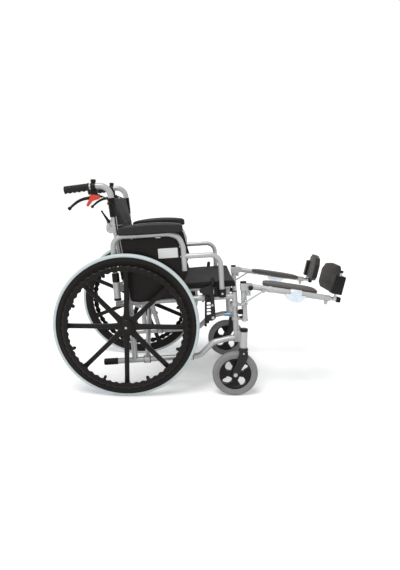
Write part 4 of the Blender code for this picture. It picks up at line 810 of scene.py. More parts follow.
rear_socket = stud(-0.032, 0.120, 0.190, ARM_D, 0.0148, 0.001, 28)
rear_strap = strap(at(-0.006, 0.165, FRAME_D), at(-0.032, 0.165, ARM_D), 0.040, 0.012, 0.002, forward)
front_strap = strap(
    at(DESK_U, UPPER_W, FRAME_D + 0.006), at(DESK_U, 0.104, ARM_D), 0.018, 0.012, 0.002, forward,
)
housing = turned([(0, 0), (0.0155, 0), (0.0165, 0.001), (0.0165, 0.0735), (0, 0.0745)], housing_place, 40)
housing_rings = [
    turned(
        [(0.0165, h - 0.0012), (0.0171, h - 0.0006), (0.0171, h + 0.0006), (0.0165, h + 0.0012)],
        housing_place, 40, True,
    )
    for h in (0.006, 0.068)
]
weld_z = at(FRONT_U, -0.088, FRAME_D)[2] - LIFT
gusset_start = at(FRONT_U, -0.088, FRAME_D)
gusset = strap(gusset_start, level(SWIVEL_X, weld_z, CASTER_D), 0.020, 0.046, 0.003)
step_u = CANE_HINGE_U - TUBE_R - 0.004
cheek_outline = bent(
    [
        (HINGE_U - 0.009, CANE_HINGE_W - 0.020), (HINGE_U - 0.010, CANE_HINGE_W),
        (HINGE_U - 0.006, CANE_HINGE_W + 0.009), (HINGE_U + 0.004, CANE_HINGE_W + 0.010),
        (step_u, CANE_HINGE_W - 0.001), (CANE_HINGE_U + 0.006, CANE_HINGE_W - 0.001),
        (CANE_HINGE_U + 0.006, CANE_HINGE_W - 0.026), (HINGE_U + 0.006, CANE_HINGE_W - 0.030),
    ],
    0.004, 4, True,
)
cheeks = [
    slab(cheek_outline, FRAME_D + a, FRAME_D + b, at, 0.0006)
    for a, b in ((-0.013, -0.0105), (0.0105, 0.013))
]
brackets = [sleeve, sleeve_arm, end_ring, rear_socket, rear_strap, front_strap, housing, gusset]
frame_shells = tubes + welds + brackets + housing_rings + cheeks
pair("frame_tubes", frame_shells, "frame", "silver_tube", ["side_frame"])

# %% [markdown]
# Black mouldings finish the frame: the cap on the tipping stub, the arm socket bushes, the seat
# rail saddles, the dust cap over each caster stem and small plugs in the tube ends.

# %% Frame mouldings and bolts


def ribbed_cap(start, end, radius, ribs, depth):
    """A cap with fine rings: its radius is a cosine along it, and its rims are rounded."""
    share = np.linspace(0, 1, ribs * 6 + 1)
    rim = np.minimum(1, np.minimum(share, 1 - share) * ribs * 1.5)
    size = radius - 0.0015 * (1 - rim) ** 2 - depth * (0.5 - 0.5 * np.cos(2 * math.pi * ribs * share)) * rim
    path = np.asarray(start) + (np.asarray(end) - np.asarray(start)) * share[:, None]
    return sweep(path, size, 28)


def saddle(u):
    """The cradle that a seat tube drops into: a half ring on a foot over the upper rail."""
    angle = np.linspace(math.pi, 2 * math.pi, 25)
    inner = [(FRAME_D + 0.0118 * math.cos(a), 0.135 + 0.0118 * math.sin(a)) for a in angle]
    outline = [
        (FRAME_D - 0.0143, 0.135), *inner, (FRAME_D + 0.0143, 0.135), (FRAME_D + 0.0143, 0.094),
        (FRAME_D - 0.0143, 0.094),
    ]
    return slab(outline, u - 0.012, u + 0.012, lambda d, w, along: at(along, w, d), 0.0006)


dust_cap = turned(
    rounded_profile(
        [(0, 0.074), (0.0178, 0.074), (0.0172, 0.0855), (0.0130, 0.0875), (0, 0.0880)], 0.002, 3, False,
    ),
    housing_place, 40,
)
mouldings = [
    ribbed_cap(at(-0.122, LOWER_W, FRAME_D), at(-0.060, LOWER_W, FRAME_D), 0.0150, 5, 0.0005),
    stud(-0.032, 0.190, 0.228, ARM_D, 0.0156, 0.0015, 28),
    stud(-0.032, 0.110, 0.121, ARM_D, 0.0156, 0.0015, 28),
    stud(DESK_U, 0.095, 0.130, ARM_D, 0.0164, 0.0015, 28),
    stud(FRONT_U, 0.108, 0.1115, FRAME_D, TUBE_R - 0.0005, 0.001),
    bar(-0.0465, -0.0440, UPPER_W, FRAME_D, TUBE_R - 0.003, 0.0008),
    saddle(0.135), saddle(0.395), dust_cap,
]
pair("frame_mouldings", mouldings, "frame", "black_plastic")


def bolt_head(centre, run, radius=0.0052, tall=0.003):
    """A hexagon head with its washer, standing on a face."""
    centre, run = np.asarray(centre, float), np.asarray(run, float)
    washer = peg(centre - run * 0.0006, centre + run * 0.0008, radius * 1.45, 0.0003, 24)
    head = peg(centre + run * 0.0006, centre + run * (0.0006 + tall), radius, 0.0006, 6)
    return [washer, head]


barrel = bar(0.425, 0.467, 0.0106, FRAME_D, 0.0090, 0.001, 28)
barrel_nose = bar(0.419, 0.426, 0.0106, FRAME_D, 0.0066, 0.001, 6)
pair("clamp_barrel", [barrel, barrel_nose], "frame", "zinc", finish=blue_zinc)
frame_bolts = bolt_head(at(-0.004, 0.178, FRAME_D + 0.0118), outward, 0.004)
frame_bolts += bolt_head(at(HINGE_U, CANE_HINGE_W, FRAME_D + 0.013), outward, 0.0042)
frame_bolts += bolt_head(at(HINGE_U, CANE_HINGE_W, FRAME_D - 0.013), -outward, 0.0042)
frame_bolts += bolt_head(at(CANE_HINGE_U, CANE_HINGE_W - 0.016, FRAME_D + 0.013), outward, 0.0030, 0.0016)
frame_bolts += bolt_head(at(DESK_U, 0.112, ARM_D + 0.0158), outward, 0.0034)
frame_bolts += bolt_head(at(-0.032, 0.150, ARM_D + 0.0144), outward, 0.0034)
pair("frame_bolts", frame_bolts, "frame", "zinc")

# %% [markdown]
# A drum brake sits between the frame and the wheel. The drum is a spun cup with a rolled rim and a
# cable stop. The axle bolt runs through it into the sleeve.

# %% Hub brake
drum_profile = rounded_profile(
    [
        (0, 0.2610), (0.030, 0.2610), (0.034, 0.2585), (0.041, 0.2590), (0.045, 0.2575), (0.045, 0.2480),
        (0, 0.2480),
    ],
    0.0012, 3, False,
)
drum = turned(drum_profile, wheel, 64)
cable_stop = stud(0, 0.039, 0.0512, 0.2545, 0.0048, 0.0008, 20)
axle_bolt = pin(0, 0, 0.2085, 0.3080, 0.0060, 0.0008, 24)
axle_nut = pin(0, 0, 0.2062, 0.2146, 0.0115, 0.001, 6)
pair("hub_brake", [drum, cable_stop, axle_bolt, axle_nut], "frame", "zinc", ["hub_brake"])

# %% [markdown]
# The upper cane is the same tube, swept back into the push handle. Its lower end carries the
# tongue that turns between the hinge cheeks.

# %% Upper cane
GRIP_FRONT, GRIP_BACK = np.array([-0.158, 0.887]), np.array([-0.262, 0.872])


def grip_axis(x):
    """Height of the grip's middle line at x ahead of the axle."""
    share = (x - GRIP_FRONT[0]) / (GRIP_BACK[0] - GRIP_FRONT[0])
    return GRIP_FRONT[1] + share * (GRIP_BACK[1] - GRIP_FRONT[1])


cane_foot = at(CANE_HINGE_U, CANE_HINGE_W + 0.0008, FRAME_D)
cane_top = at(CANE_TOP_U, CANE_TOP_W, FRAME_D)
slope = (cane_top - cane_foot) / np.linalg.norm(cane_top - cane_foot)
grip_start = level(GRIP_FRONT[0], GRIP_FRONT[1], FRAME_D)
grip_end = level(GRIP_BACK[0], GRIP_BACK[1], FRAME_D)
grip_run = (grip_end - grip_start) / np.linalg.norm(grip_end - grip_start)
rise = slope[0] * (grip_start[2] - cane_top[2]) - slope[2] * (grip_start[0] - cane_top[0])
cane_corner = grip_start + grip_run * (rise / (slope[2] * grip_run[0] - slope[0] * grip_run[2]))
cane_line = bent([cane_foot, cane_corner, level(-0.242, grip_axis(-0.242), FRAME_D)], 0.045, 14)
tongue = block(
    (HINGE_U - 0.007, CANE_HINGE_W + 0.001, FRAME_D - 0.008),
    (CANE_HINGE_U, CANE_HINGE_W + 0.030, FRAME_D + 0.008), at, 0.0015,
)
knuckle = pin(HINGE_U, CANE_HINGE_W, FRAME_D - 0.008, FRAME_D + 0.008, 0.0075)
cane_collar = peg(at(-0.0212, 0.4270, FRAME_D), at(-0.0213, 0.4320, FRAME_D), TUBE_R + 0.0009)
upper_cane = [sweep(cane_line, TUBE_R, 28), tongue, knuckle, cane_collar]
pair("upper_cane", upper_cane, "upper_cane", "silver_tube", ["upper_cane"])

# %% [markdown]
# The push grip is moulded rubber with five finger hollows on its underside, a flange in front and
# fine ribs. Its radius is a cosine along the grip, weighted to the lower half of each ring.

# %% Push grip
GRIP_WAVES = 5
grip_length = float(np.linalg.norm(grip_end - grip_start))
share = np.concatenate([[0, 0, 0.012, 0.03, 0.05], np.linspace(0.06, 0.965, 91), [0.98, 0.992, 1.0, 1.0]])
size = np.full(len(share), 0.0162)
size[:5] = (0.0, 0.0165, 0.0182, 0.0182, 0.0168)
size[-4:] = (0.0160, 0.0145, 0.0115, 0.0)
angle = np.linspace(0, 2 * math.pi, 48, endpoint=False)
below = np.maximum(0, -np.cos(angle)) ** 0.8
in_grip = ((share > 0.05) & (share < 0.97))[:, None]
finger = 0.5 - 0.5 * np.cos(2 * math.pi * GRIP_WAVES * (share - 0.05) / 0.92)
ribs = 0.00025 * np.cos(2 * math.pi * 46 * share)[:, None] * (1 - below)[None]
radius = size[:, None] + in_grip * (ribs - 0.0030 * finger[:, None] * below[None])
grip_up = np.cross(grip_run, outward)
path = grip_start + grip_run * (share * grip_length)[:, None]
grip_rings = path[:, None] + radius[..., None] * (
    np.cos(angle)[None, :, None] * grip_up + np.sin(angle)[None, :, None] * outward
)
pair("push_grip", [skin(grip_rings)], "upper_cane", "grip_rubber", ["push_grip"])

# %% [markdown]
# Each handle has an attendant brake: a clamp round the tube with a knob on top, a housing with the
# lever's fork, a curved lever that ends in a ball, and a red catch that holds the brake on.

# %% Attendant brake
BRAKE_X, BRAKE_Z = -0.135, 0.851
clamp_middle = level(BRAKE_X - 0.006, grip_axis(BRAKE_X - 0.006), FRAME_D)
brake_shells = [
    ribbed_cap(clamp_middle - grip_run * 0.0095, clamp_middle + grip_run * 0.0095, 0.0176, 2, 0.0005),
    strap(
        level(BRAKE_X, BRAKE_Z - 0.002, FRAME_D), level(BRAKE_X - 0.004, BRAKE_Z + 0.030, FRAME_D), 0.016,
        0.027, 0.0045, (1, 0, 0),
    ),
    peg(
        level(BRAKE_X + 0.0205, BRAKE_Z - 0.001, FRAME_D), level(BRAKE_X - 0.012, BRAKE_Z + 0.004, FRAME_D),
        0.0086, 0.002,
    ),
    block(
        (BRAKE_X - 0.017, BRAKE_Z - 0.006, FRAME_D + 0.0044),
        (BRAKE_X + 0.004, BRAKE_Z + 0.016, FRAME_D + 0.0075), level, 0.001,
    ),
    block(
        (BRAKE_X - 0.017, BRAKE_Z - 0.006, FRAME_D - 0.0075),
        (BRAKE_X + 0.004, BRAKE_Z + 0.016, FRAME_D - 0.0044), level, 0.001,
    ),
    peg(clamp_middle + [0, 0, 0.013], clamp_middle + [0, 0, 0.0195], 0.0060, 0.0008, 20),
    ribbed_cap(clamp_middle + [0, 0, 0.0165], clamp_middle + [0, 0, 0.0300], 0.0112, 2, 0.0006),
    peg(
        level(BRAKE_X + 0.018, BRAKE_Z - 0.0008, FRAME_D),
        level(BRAKE_X + 0.0300, BRAKE_Z - 0.0022, FRAME_D), 0.0048, 0.0008, 12,
    ),
]
pair("brake_body", brake_shells, "upper_cane", "black_plastic", ["brake_body"])
lever_root = (BRAKE_X - 0.004, BRAKE_Z + 0.005)
lever_flat = flowing(
    [lever_root, (-0.157, 0.8435), (-0.180, 0.8385), (-0.203, 0.8290), (-0.224, 0.8140), (-0.240, 0.7990)],
    40,
)
lever_size = np.interp(np.linspace(0, 1, 40), [0, 0.15, 0.7, 1], [0.0050, 0.0062, 0.0050, 0.0040])
lever = sweep(level(lever_flat[:, 0], lever_flat[:, 1], FRAME_D), lever_size, 20, tall=1.15)
lever_eye = peg(level(*lever_root, FRAME_D - 0.0038), level(*lever_root, FRAME_D + 0.0038), 0.0068)


def ball(centre, radius, steps=24):
    """A round knob: a half circle turned about the Z axis."""
    angle = np.linspace(-math.pi / 2, math.pi / 2, steps // 2 + 1)
    profile = np.stack([radius * np.cos(angle), radius * np.sin(angle)], axis=1)
    centre = np.asarray(centre, float)
    return turned(profile, lambda a, b, c: centre + point(a, b, c), steps)


pair(
    "brake_lever", [lever, lever_eye, ball(level(-0.242, 0.7972, FRAME_D), 0.0080)], "brake_lever",
    "black_plastic", ["brake_lever"],
)
LOCK_X, LOCK_Z = -0.120, 0.846
catch_outline = bent(
    [
        (LOCK_X - 0.004, LOCK_Z + 0.009), (LOCK_X - 0.034, LOCK_Z + 0.010), (
            LOCK_X - 0.036, LOCK_Z - 0.006,
        ),
        (-0.1700, 0.8120), (-0.1620, 0.8055), (LOCK_X - 0.022, LOCK_Z - 0.016),
        (LOCK_X + 0.002, LOCK_Z - 0.008), (LOCK_X + 0.009, LOCK_Z - 0.004), (
            LOCK_X + 0.008, LOCK_Z + 0.006,
        ),
    ],
    0.0035, 5, True,
)
catch = slab(catch_outline, FRAME_D + 0.0096, FRAME_D + 0.0142, level, 0.0012)
catch_rib = peg(
    level(LOCK_X, LOCK_Z, FRAME_D + 0.0138), level(LOCK_X, LOCK_Z, FRAME_D + 0.0156), 0.0060, 0.0008,
)
pair("brake_catch", [catch, catch_rib], "brake_lock", "red_plastic", ["brake_lock"])

# %% [markdown]
# Behind each cane hinge is the release lever: a flat black blade that leans back, with a folded
# thumb tab at its tip.

# %% Cane latch
BLADE_FLAT = 0.34
latch_u, latch_w = HINGE_U + 0.004, CANE_HINGE_W + 0.021
latch_lean = math.radians(30)
latch_tip = (latch_u - 0.050 * math.sin(latch_lean), latch_w + 0.050 * math.cos(latch_lean))
latch_root = pin(latch_u, latch_w, FRAME_D + 0.0105, FRAME_D + 0.0140, 0.0066)
latch_mid = FRAME_D + 0.01225
blade_path = np.stack([at(latch_u, latch_w, latch_mid), at(*latch_tip, latch_mid)])
blade_path = blade_path[0] + (blade_path[1] - blade_path[0]) * np.linspace(0, 1, 12)[:, None]
blade = sweep(blade_path, np.linspace(0.0066, 0.0032, 12), 16)
blade = (blade[0] * [1, BLADE_FLAT, 1] + [0, -latch_mid * (1 - BLADE_FLAT), 0], blade[1])
latch_tab = block(
    (latch_tip[0] - 0.0045, latch_tip[1] - 0.003, FRAME_D - 0.002),
    (latch_tip[0] + 0.0035, latch_tip[1] + 0.004, FRAME_D + 0.014), at, 0.0015,
)
pair("cane_latch", [latch_root, blade, latch_tab], "cane_latch", "black_plastic", ["cane_latch"])

# %% [markdown]
# The tyre is a solid ring with a low tread: bars in staggered rows, cut by grooves 0.6 mm deep.
# Its section is rounded, and the tread lowers the radius where a wave round the wheel is high.

# %% Drive wheel tyre
WHEEL_D = 0.2925
TREADS, GROOVE = 180, 0.0006
SHOULDER = 0.0095


def tyre_section(outer, inner, half, count=26):
    """A rounded tyre section: a flattened half oval outside, straight sides and a flat inside."""
    angle = np.linspace(-math.pi / 2, math.pi / 2, count)
    shoulder = outer - SHOULDER
    crown = [
        (
            shoulder + SHOULDER * math.cos(a) ** 0.8,
            half * math.copysign(abs(math.sin(a)) ** 0.7, math.sin(a)),
        )
        for a in angle
    ]
    return [(inner, -half + 0.0006), *crown, (inner, half - 0.0006)]


def tread(radius, height, angle):
    """Lowers the crown in grooves: staggered bars either side of a middle line."""
    crown = np.clip((radius - 0.3040) / 0.004, 0, 1)
    side = np.sign(height - WHEEL_D)
    bars = np.sin(TREADS * angle + side * 0.9 + 260 * (height - WHEEL_D)) > 0.55
    middle = np.abs(height - WHEEL_D) < 0.0009
    return radius - GROOVE * crown * (bars | middle), height


section = [(r, WHEEL_D + h) for r, h in tyre_section(WHEEL_R, 0.2990, 0.0135)]
tyre_shell = turned(section, wheel, 720, loop=True, ripple=tread)
FAR_TURN = math.radians(22.5)
pair("tyre", [tyre_shell], "drive_wheel", "grey_tyre", ["tyre"], far_spin=-FAR_TURN)

# %% [markdown]
# The wheel is one moulding: a deep rim, eight tapered spokes that flare where they meet it, and a
# stepped hub. A spoke is a grid: its half width is a smooth function of the distance from the hub,
# and a cross section with a raised middle rib is carried along it.

# %% Moulded rim, spokes and hub
SPOKES = 8


def spoke_shell(index):
    """Half width: 17 mm at the hub, 10 mm along the spoke, then a flare of exp at the rim."""
    radius = np.concatenate([np.linspace(0.030, 0.240, 30), np.linspace(0.243, 0.268, 14)])
    half = 0.0100 + 0.0070 * np.exp(-(radius - 0.030) / 0.028) + 0.0170 * np.exp(-(0.268 - radius) / 0.0075)
    angle = np.linspace(0, 2 * math.pi, 32, endpoint=False)
    cosine, sine = np.cos(angle), np.sin(angle)
    side = np.sign(cosine) * np.abs(cosine) ** 0.45
    thick = np.sign(sine) * np.abs(sine) ** 0.45 * 0.0088
    rib = 0.0026 * np.exp(-((side / 0.26) ** 2)) * np.sign(sine) * (np.abs(sine) > 0.2)
    a = np.broadcast_to(radius[:, None], (len(radius), 32))
    b = half[:, None] * side[None]
    d = WHEEL_D + (thick + rib)[None] + 0 * a
    turn = 2 * math.pi * index / SPOKES
    return skin(wheel(a * math.cos(turn) - b * math.sin(turn), a * math.sin(turn) + b * math.cos(turn), d))


rim_corners = [
    (0.2988, 0.0125), (0.2988, -0.0125), (0.2840, -0.0125), (0.2640, -0.0100),
    (0.2622, -0.0090), (0.2622, 0.0090), (0.2640, 0.0104), (0.2770, 0.0108), (0.2800, 0.0125),
]
rim_ring = turned(
    [(r, WHEEL_D + h) for r, h in rounded_profile(rim_corners, 0.0015)], wheel, 180, loop=True,
)
hub_corners = [
    (0, 0.3200), (0.0195, 0.3200), (0.0220, 0.3188), (0.0222, 0.3160), (0.0255, 0.3160), (0.0262, 0.3135),
    (0.0300, 0.3130), (0.0330, 0.3100), (0.0345, 0.3020), (0.0400, 0.2985), (0.0400, 0.2865),
    (0.0345, 0.2830), (0.0330, 0.2720), (0.0310, 0.2705), (0, 0.2705),
]
hub_shell = turned(rounded_profile(hub_corners, 0.0012, 3, False), wheel, 96)
rim_shells = [rim_ring, hub_shell] + [spoke_shell(index) for index in range(SPOKES)]
pair("rim", rim_shells, "drive_wheel", "black_plastic", ["rim"], far_spin=-FAR_TURN)
axle_cap = turned(
    [(0, 0.3212), (0.0035, 0.3212), (0.0052, 0.3203), (0.0055, 0.3192), (0, 0.3190)], wheel, 32,
)
pair("axle_cap", [axle_cap], "drive_wheel", "zinc")

# %% [markdown]
# The hand rim is a moulded ring with finger waves all round and eight hooked feet that reach back
# to the rim. The waves widen and narrow the ring 54 times, and tilt its face a little as they go.

# %% Hand rim
HAND_R, HAND_HALF, HAND_D, WAVES = 0.2540, 0.0118, 0.3250, 54
half_oval = np.linspace(0, 2 * math.pi, 18, endpoint=False)
hand_section = np.stack(
    [HAND_R + HAND_HALF * np.cos(half_oval), HAND_D + 0.0008 + 0.0056 * np.sin(half_oval)], axis=1,
)


def finger_waves(radius, height, angle):
    """Outer and inner edges move apart and together, and the face rises between fingers."""
    side = (radius - HAND_R) / HAND_HALF
    wave = np.cos(WAVES * angle)
    return radius + 0.0024 * side * wave, height + 0.0012 * (1 - side**2) * wave * np.sign(height - HAND_D)


hand_ring = turned(hand_section, wheel, 648, loop=True, ripple=finger_waves)
feet = []
for index in range(SPOKES):
    ray = 2 * math.pi * (index + 0.5) / SPOKES
    ahead = [
        (0.2520, 0.3245), (0.2400, 0.3225), (0.2360, 0.3160), (0.2420, 0.3090), (0.2560, 0.3062),
        (0.2650, 0.3045),
    ]
    hook = flowing(ahead, 22)
    line = wheel(hook[:, 0] * math.cos(ray), hook[:, 0] * math.sin(ray), hook[:, 1])
    sideways = wheel(-math.sin(ray), math.cos(ray), 0) - wheel(0, 0, 0)
    feet.append(
        sweep(
            line, np.interp(np.linspace(0, 1, 22), [0, 0.3, 1], [0.0050, 0.0066, 0.0058]), 16,
            across=sideways,
        )
    )
pair("hand_rim", [hand_ring] + feet, "drive_wheel", "black_plastic", ["hand_rim"], far_spin=-FAR_TURN)

# %% [markdown]
# The caster fork is pressed black steel: two curved legs that trail the wheel behind the swivel,
# a bridge over the tyre and the stem. The bright axle bolt crosses them.

# %% Caster fork
FORK_IN, FORK_OUT = 0.0185, 0.0235
AXLE_A, AXLE_B = SWIVEL_X - 0.0325, 0.100 - LIFT
fork_outline = bent(
    [
        (SWIVEL_X - 0.019, 0.2085), (SWIVEL_X - 0.021, 0.180), (AXLE_A - 0.002, AXLE_B + 0.045),
        (AXLE_A - 0.0135, AXLE_B + 0.012), (AXLE_A - 0.011, AXLE_B - 0.010), (AXLE_A, AXLE_B - 0.0145),
        (AXLE_A + 0.0125, AXLE_B - 0.009), (AXLE_A + 0.022, AXLE_B + 0.020), (
            SWIVEL_X + 0.010, AXLE_B + 0.055,
        ),
        (SWIVEL_X + 0.019, 0.175), (SWIVEL_X + 0.019, 0.2085),
    ],
    0.022, 6, True,
)
fork_shells = [
    slab(fork_outline, CASTER_D + a, CASTER_D + b, level, 0.0012)
    for a, b in ((-FORK_OUT, -FORK_IN), (FORK_IN, FORK_OUT))
]
bridge = bent(
    [(-FORK_OUT, 0.2020), (-FORK_OUT, 0.2097), (FORK_OUT, 0.2097), (FORK_OUT, 0.2020)], 0.004, 5, True,
)
fork_shells.append(
    slab(bridge, SWIVEL_X - 0.019, SWIVEL_X + 0.019, lambda d, z, x: level(x, z, CASTER_D + d), 0.001)
)
fork_shells.append(
    peg(level(SWIVEL_X, 0.2085, CASTER_D), level(SWIVEL_X, 0.2105, CASTER_D), 0.0130, 0.0005, 28)
)
pair("caster_fork", fork_shells, "caster_fork", "black_steel", ["caster_fork"])
fork_bolts = [
    peg(level(AXLE_A, AXLE_B, CASTER_D - 0.027), level(AXLE_A, AXLE_B, CASTER_D + 0.027), 0.0050, 0.0008)
]
fork_bolts += bolt_head(level(AXLE_A, AXLE_B, CASTER_D + 0.0235), outward, 0.0062, 0.0035)
fork_bolts += bolt_head(level(AXLE_A, AXLE_B, CASTER_D - 0.0235), -outward, 0.0062, 0.0035)
fork_bolts += bolt_head(level(SWIVEL_X, 0.190, CASTER_D + 0.0235), outward, 0.0028, 0.0012)
fork_bolts.append(peg(level(SWIVEL_X, 0.2097, CASTER_D), level(SWIVEL_X, 0.270, CASTER_D), 0.0058, 0.0008))
pair("caster_bolts", fork_bolts, "caster_fork", "zinc")

# %% [markdown]
# A caster is a grey tyre on a black moulded centre with four swept openings, like a pinwheel.
# The openings are cut by a Boolean, because a disc with holes isn't a grid.

# %% Caster wheel


def caster(a, b, d):
    """Place on the caster: a forward and b up from its axle, d out from its own middle."""
    return level(
        AXLE_A + np.asarray(a, float), AXLE_B + np.asarray(b, float), CASTER_D + np.asarray(d, float),
    )


caster_corners = [
    (0.0702, 0.0125), (0.0860, 0.0155), (0.0930, 0.0150), (0.0985, 0.0105), (0.1000, 0.0060),
    (0.1000, -0.0060), (0.0985, -0.0105), (0.0930, -0.0150), (0.0860, -0.0155), (0.0702, -0.0125),
]
mould_lines = [(0.0772, 0.0141), (0.0776, 0.0136), (0.0780, 0.0143)]
caster_profile = rounded_profile(caster_corners[:1] + mould_lines + caster_corners[1:], 0.003, 4)
pair(
    "caster_tyre", [turned(caster_profile, caster, 128, loop=True)], "caster_wheel", "caster_rubber",
    ["caster_tyre"],
)
disc_corners = [
    (0, 0.0150), (0.0120, 0.0150), (0.0165, 0.0145), (0.0190, 0.0095), (0.0240, 0.0080), (0.0560, 0.0080),
    (0.0600, 0.0118), (0.0690, 0.0122), (0.0698, 0.0110), (0.0698, -0.0110), (0.0690, -0.0122),
    (0.0600, -0.0118), (0.0560, -0.0080), (0.0240, -0.0080), (0.0190, -0.0095), (0.0165, -0.0145),
    (0.0120, -0.0150), (0, -0.0150),
]
disc = turned(rounded_profile(disc_corners, 0.0015, 3, False), caster, 96)


def opening(index):
    """A teardrop that starts narrow near the hub and sweeps out to a round end near the rim."""
    share = np.linspace(0, math.pi, 20)
    middle_r = 0.0405 - 0.0135 * np.cos(share)
    middle_a = 0.55 - 0.62 * (share / math.pi) ** 1.1
    half = 0.0022 + 0.0150 * np.sin(share * 0.80) ** 1.1
    x, y = middle_r * np.cos(middle_a), middle_r * np.sin(middle_a)
    run = np.gradient(np.stack([x, y], axis=1), axis=0)
    run /= np.linalg.norm(run, axis=1, keepdims=True)
    side = np.stack([-run[:, 1], run[:, 0]], axis=1) * half[:, None]
    loop = np.vstack([np.stack([x, y], axis=1) + side, (np.stack([x, y], axis=1) - side)[::-1]])
    turn = 2 * math.pi * (index + 0.32) / 4
    spun = loop @ np.array([[math.cos(turn), math.sin(turn)], [-math.sin(turn), math.cos(turn)]])
    return slab(spun, -0.03, 0.03, caster, 0.0001)


for side, mirror in SIDES:
    hub = dress(
        f"caster_hub_{side}", [disc], f"caster_wheel_{side}", "black_plastic", [f"caster_hub_{side}"],
        mirror=mirror,
    )
    for index in range(4):
        cutter = into_object("opening", [opening(index)], black_plastic, mirror=mirror)
        cut = hub.modifiers.new("opening", "BOOLEAN")
        cut.object = cutter
        cut.operation = "DIFFERENCE"
        with bpy.context.temp_override(object=hub, active_object=hub):
            bpy.ops.object.modifier_apply(modifier="opening")
        bpy.data.objects.remove(cutter)
    hub.data.set_sharp_from_angle(angle=SHARP)
print("caster hubs cut")

# %% [markdown]
# The armrest is 22 mm tube: a tall hoop with a bent front and a lower desk-length loop in front of
# it. The pad is screwed on top, and the side panel hangs inside.

# %% Armrest tubes
ARM_R = 0.011
HOOP_U, HOOP_W, DESK_W = 0.263, 0.381, 0.281
hoop_corners = [
    (-0.032, 0.116), (-0.032, HOOP_W), (0.200, HOOP_W), (0.247, 0.368), (HOOP_U, 0.320), (HOOP_U, 0.220),
]
hoop = side_line(hoop_corners, 0.045, ARM_D, 12)
desk = side_line([(HOOP_U, DESK_W), (DESK_U, DESK_W), (DESK_U, 0.101)], 0.045, ARM_D, 12)
arm_welds = [bead(at(HOOP_U, DESK_W, ARM_D), forward, outward, ARM_R, 0.0014)]
arm_plug = stud(HOOP_U, 0.2195, 0.2225, ARM_D, ARM_R - 0.0004, 0.0008)
pair(
    "arm_frame", [sweep(hoop, ARM_R, 26), sweep(desk, ARM_R, 26), arm_plug] + arm_welds, "armrest",
    "silver_tube", ["arm_frame"],
)
arm_clip = [
    stud(u, 0.3700, 0.3675, ARM_D, 0.0040, 0.0008, 20) for u in (0.050, 0.215)
]
arm_clip.append(block((0.150, 0.3660, ARM_D - 0.004), (0.172, 0.3705, ARM_D + 0.010), at, 0.001))
pair("arm_screws", arm_clip, "armrest", "zinc")

# %% [markdown]
# The arm pad is moulded foam: high in front, thin and rounded behind, with a soft valley along its
# upper edge. Each cross section is a rounded rectangle whose size follows the length.

# %% Arm pad


def pad_rings(low_u, high_u, rows=72, columns=56):
    """Length share s: width and height are raised to small powers of s and 1 - s at the ends."""
    s = 0.5 - 0.5 * np.cos(np.linspace(0, math.pi, rows))
    ends = (4 * s * (1 - s)) ** 0.15
    wide = 0.0255 * ends * (0.90 + 0.10 * s)
    top = 0.3960 + 0.0355 * ends * (0.86 + 0.14 * np.sin(math.pi * s))
    low = 0.3935 - 0.0105 * ends
    angle = np.linspace(0, 2 * math.pi, columns, endpoint=False)
    cosine, sine = np.cos(angle), np.sin(angle)
    across = np.sign(cosine) * np.abs(cosine) ** 0.55
    tall = np.sign(sine) * np.abs(sine) ** 0.62
    valley = 0.0018 * np.exp(-(((across + 0.25) / 0.16) ** 2)) * (sine > 0.3) * (4 * s * (1 - s))[:, None]
    waist = 1 - 0.05 * np.exp(-((tall / 0.10) ** 2))
    u = low_u + (high_u - low_u) * s[:, None] + 0 * across
    middle, half = (top + low) / 2, (top - low) / 2
    return at(u, middle[:, None] + half[:, None] * tall - valley, ARM_D + wide[:, None] * across * waist)


for pad in pair("arm_pad", [skin(pad_rings(-0.005, 0.267))], "armrest", "pad_skin", ["arm_pad"]):
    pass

# %% [markdown]
# The side panel keeps clothes off the wheel. It is a thin moulding with a raised border, two
# bright rivets and a small bare plate.

# %% Skirt guard
guard_outline = bent(
    [
        (0.005, 0.371), (0.238, 0.371), (0.258, 0.345), (0.266, 0.300), (0.282, 0.235),
        (0.272, 0.200), (0.250, 0.160), (0.217, 0.103), (0.060, 0.092), (0.022, 0.100),
    ],
    0.016, 6, True,
)
panel = slab(guard_outline, 0.2476, 0.2505, at, 0.0008)
centre_u, centre_w = 0.145, 0.215
border_line = np.array([centre_u, centre_w]) + (guard_outline - [centre_u, centre_w]) * [0.955, 0.95]
border_path = at(border_line[:, 0], border_line[:, 1], 0.2504)
border = sweep(border_path, 0.0013, 8, across=(0, 1, 0), loop=True)
swept_rib = flowing([(0.128, 0.330), (0.160, 0.305), (0.182, 0.268), (0.150, 0.250), (0.060, 0.245)], 40)
rib = sweep(at(swept_rib[:, 0], swept_rib[:, 1], 0.2503), 0.0011, 8)
pair("skirt_guard", [panel, border, rib], "armrest", "black_plastic", ["skirt_guard"])
rivets = []
for u, w in ((0.249, 0.322), (0.250, 0.279)):
    dome = [(0, 0.0022), (0.0018, 0.0020), (0.0034, 0.0011), (0.0040, 0.0), (0, -0.0004)]
    rivets.append(turned(dome, lambda a, b, d, u=u, w=w: at(u + a, w + b, 0.2505 + d), 24))
pair("guard_rivets", rivets, "armrest", "zinc")
plate = slab(
    bent([(0.155, 0.277), (0.239, 0.277), (0.239, 0.319), (0.155, 0.319)], 0.003, 5, True), 0.2503, 0.2515,
    at, 0.0003,
)
pair("blank_plate", [plate], "armrest", None, finish=white_plate)

# %% [markdown]
# The wheel lock hangs on the upper rail: a clamp, a ladder-like plate, and a lever that carries the
# handle and a shoe bar. The bar swings back toward the tyre as the handle is pulled back.

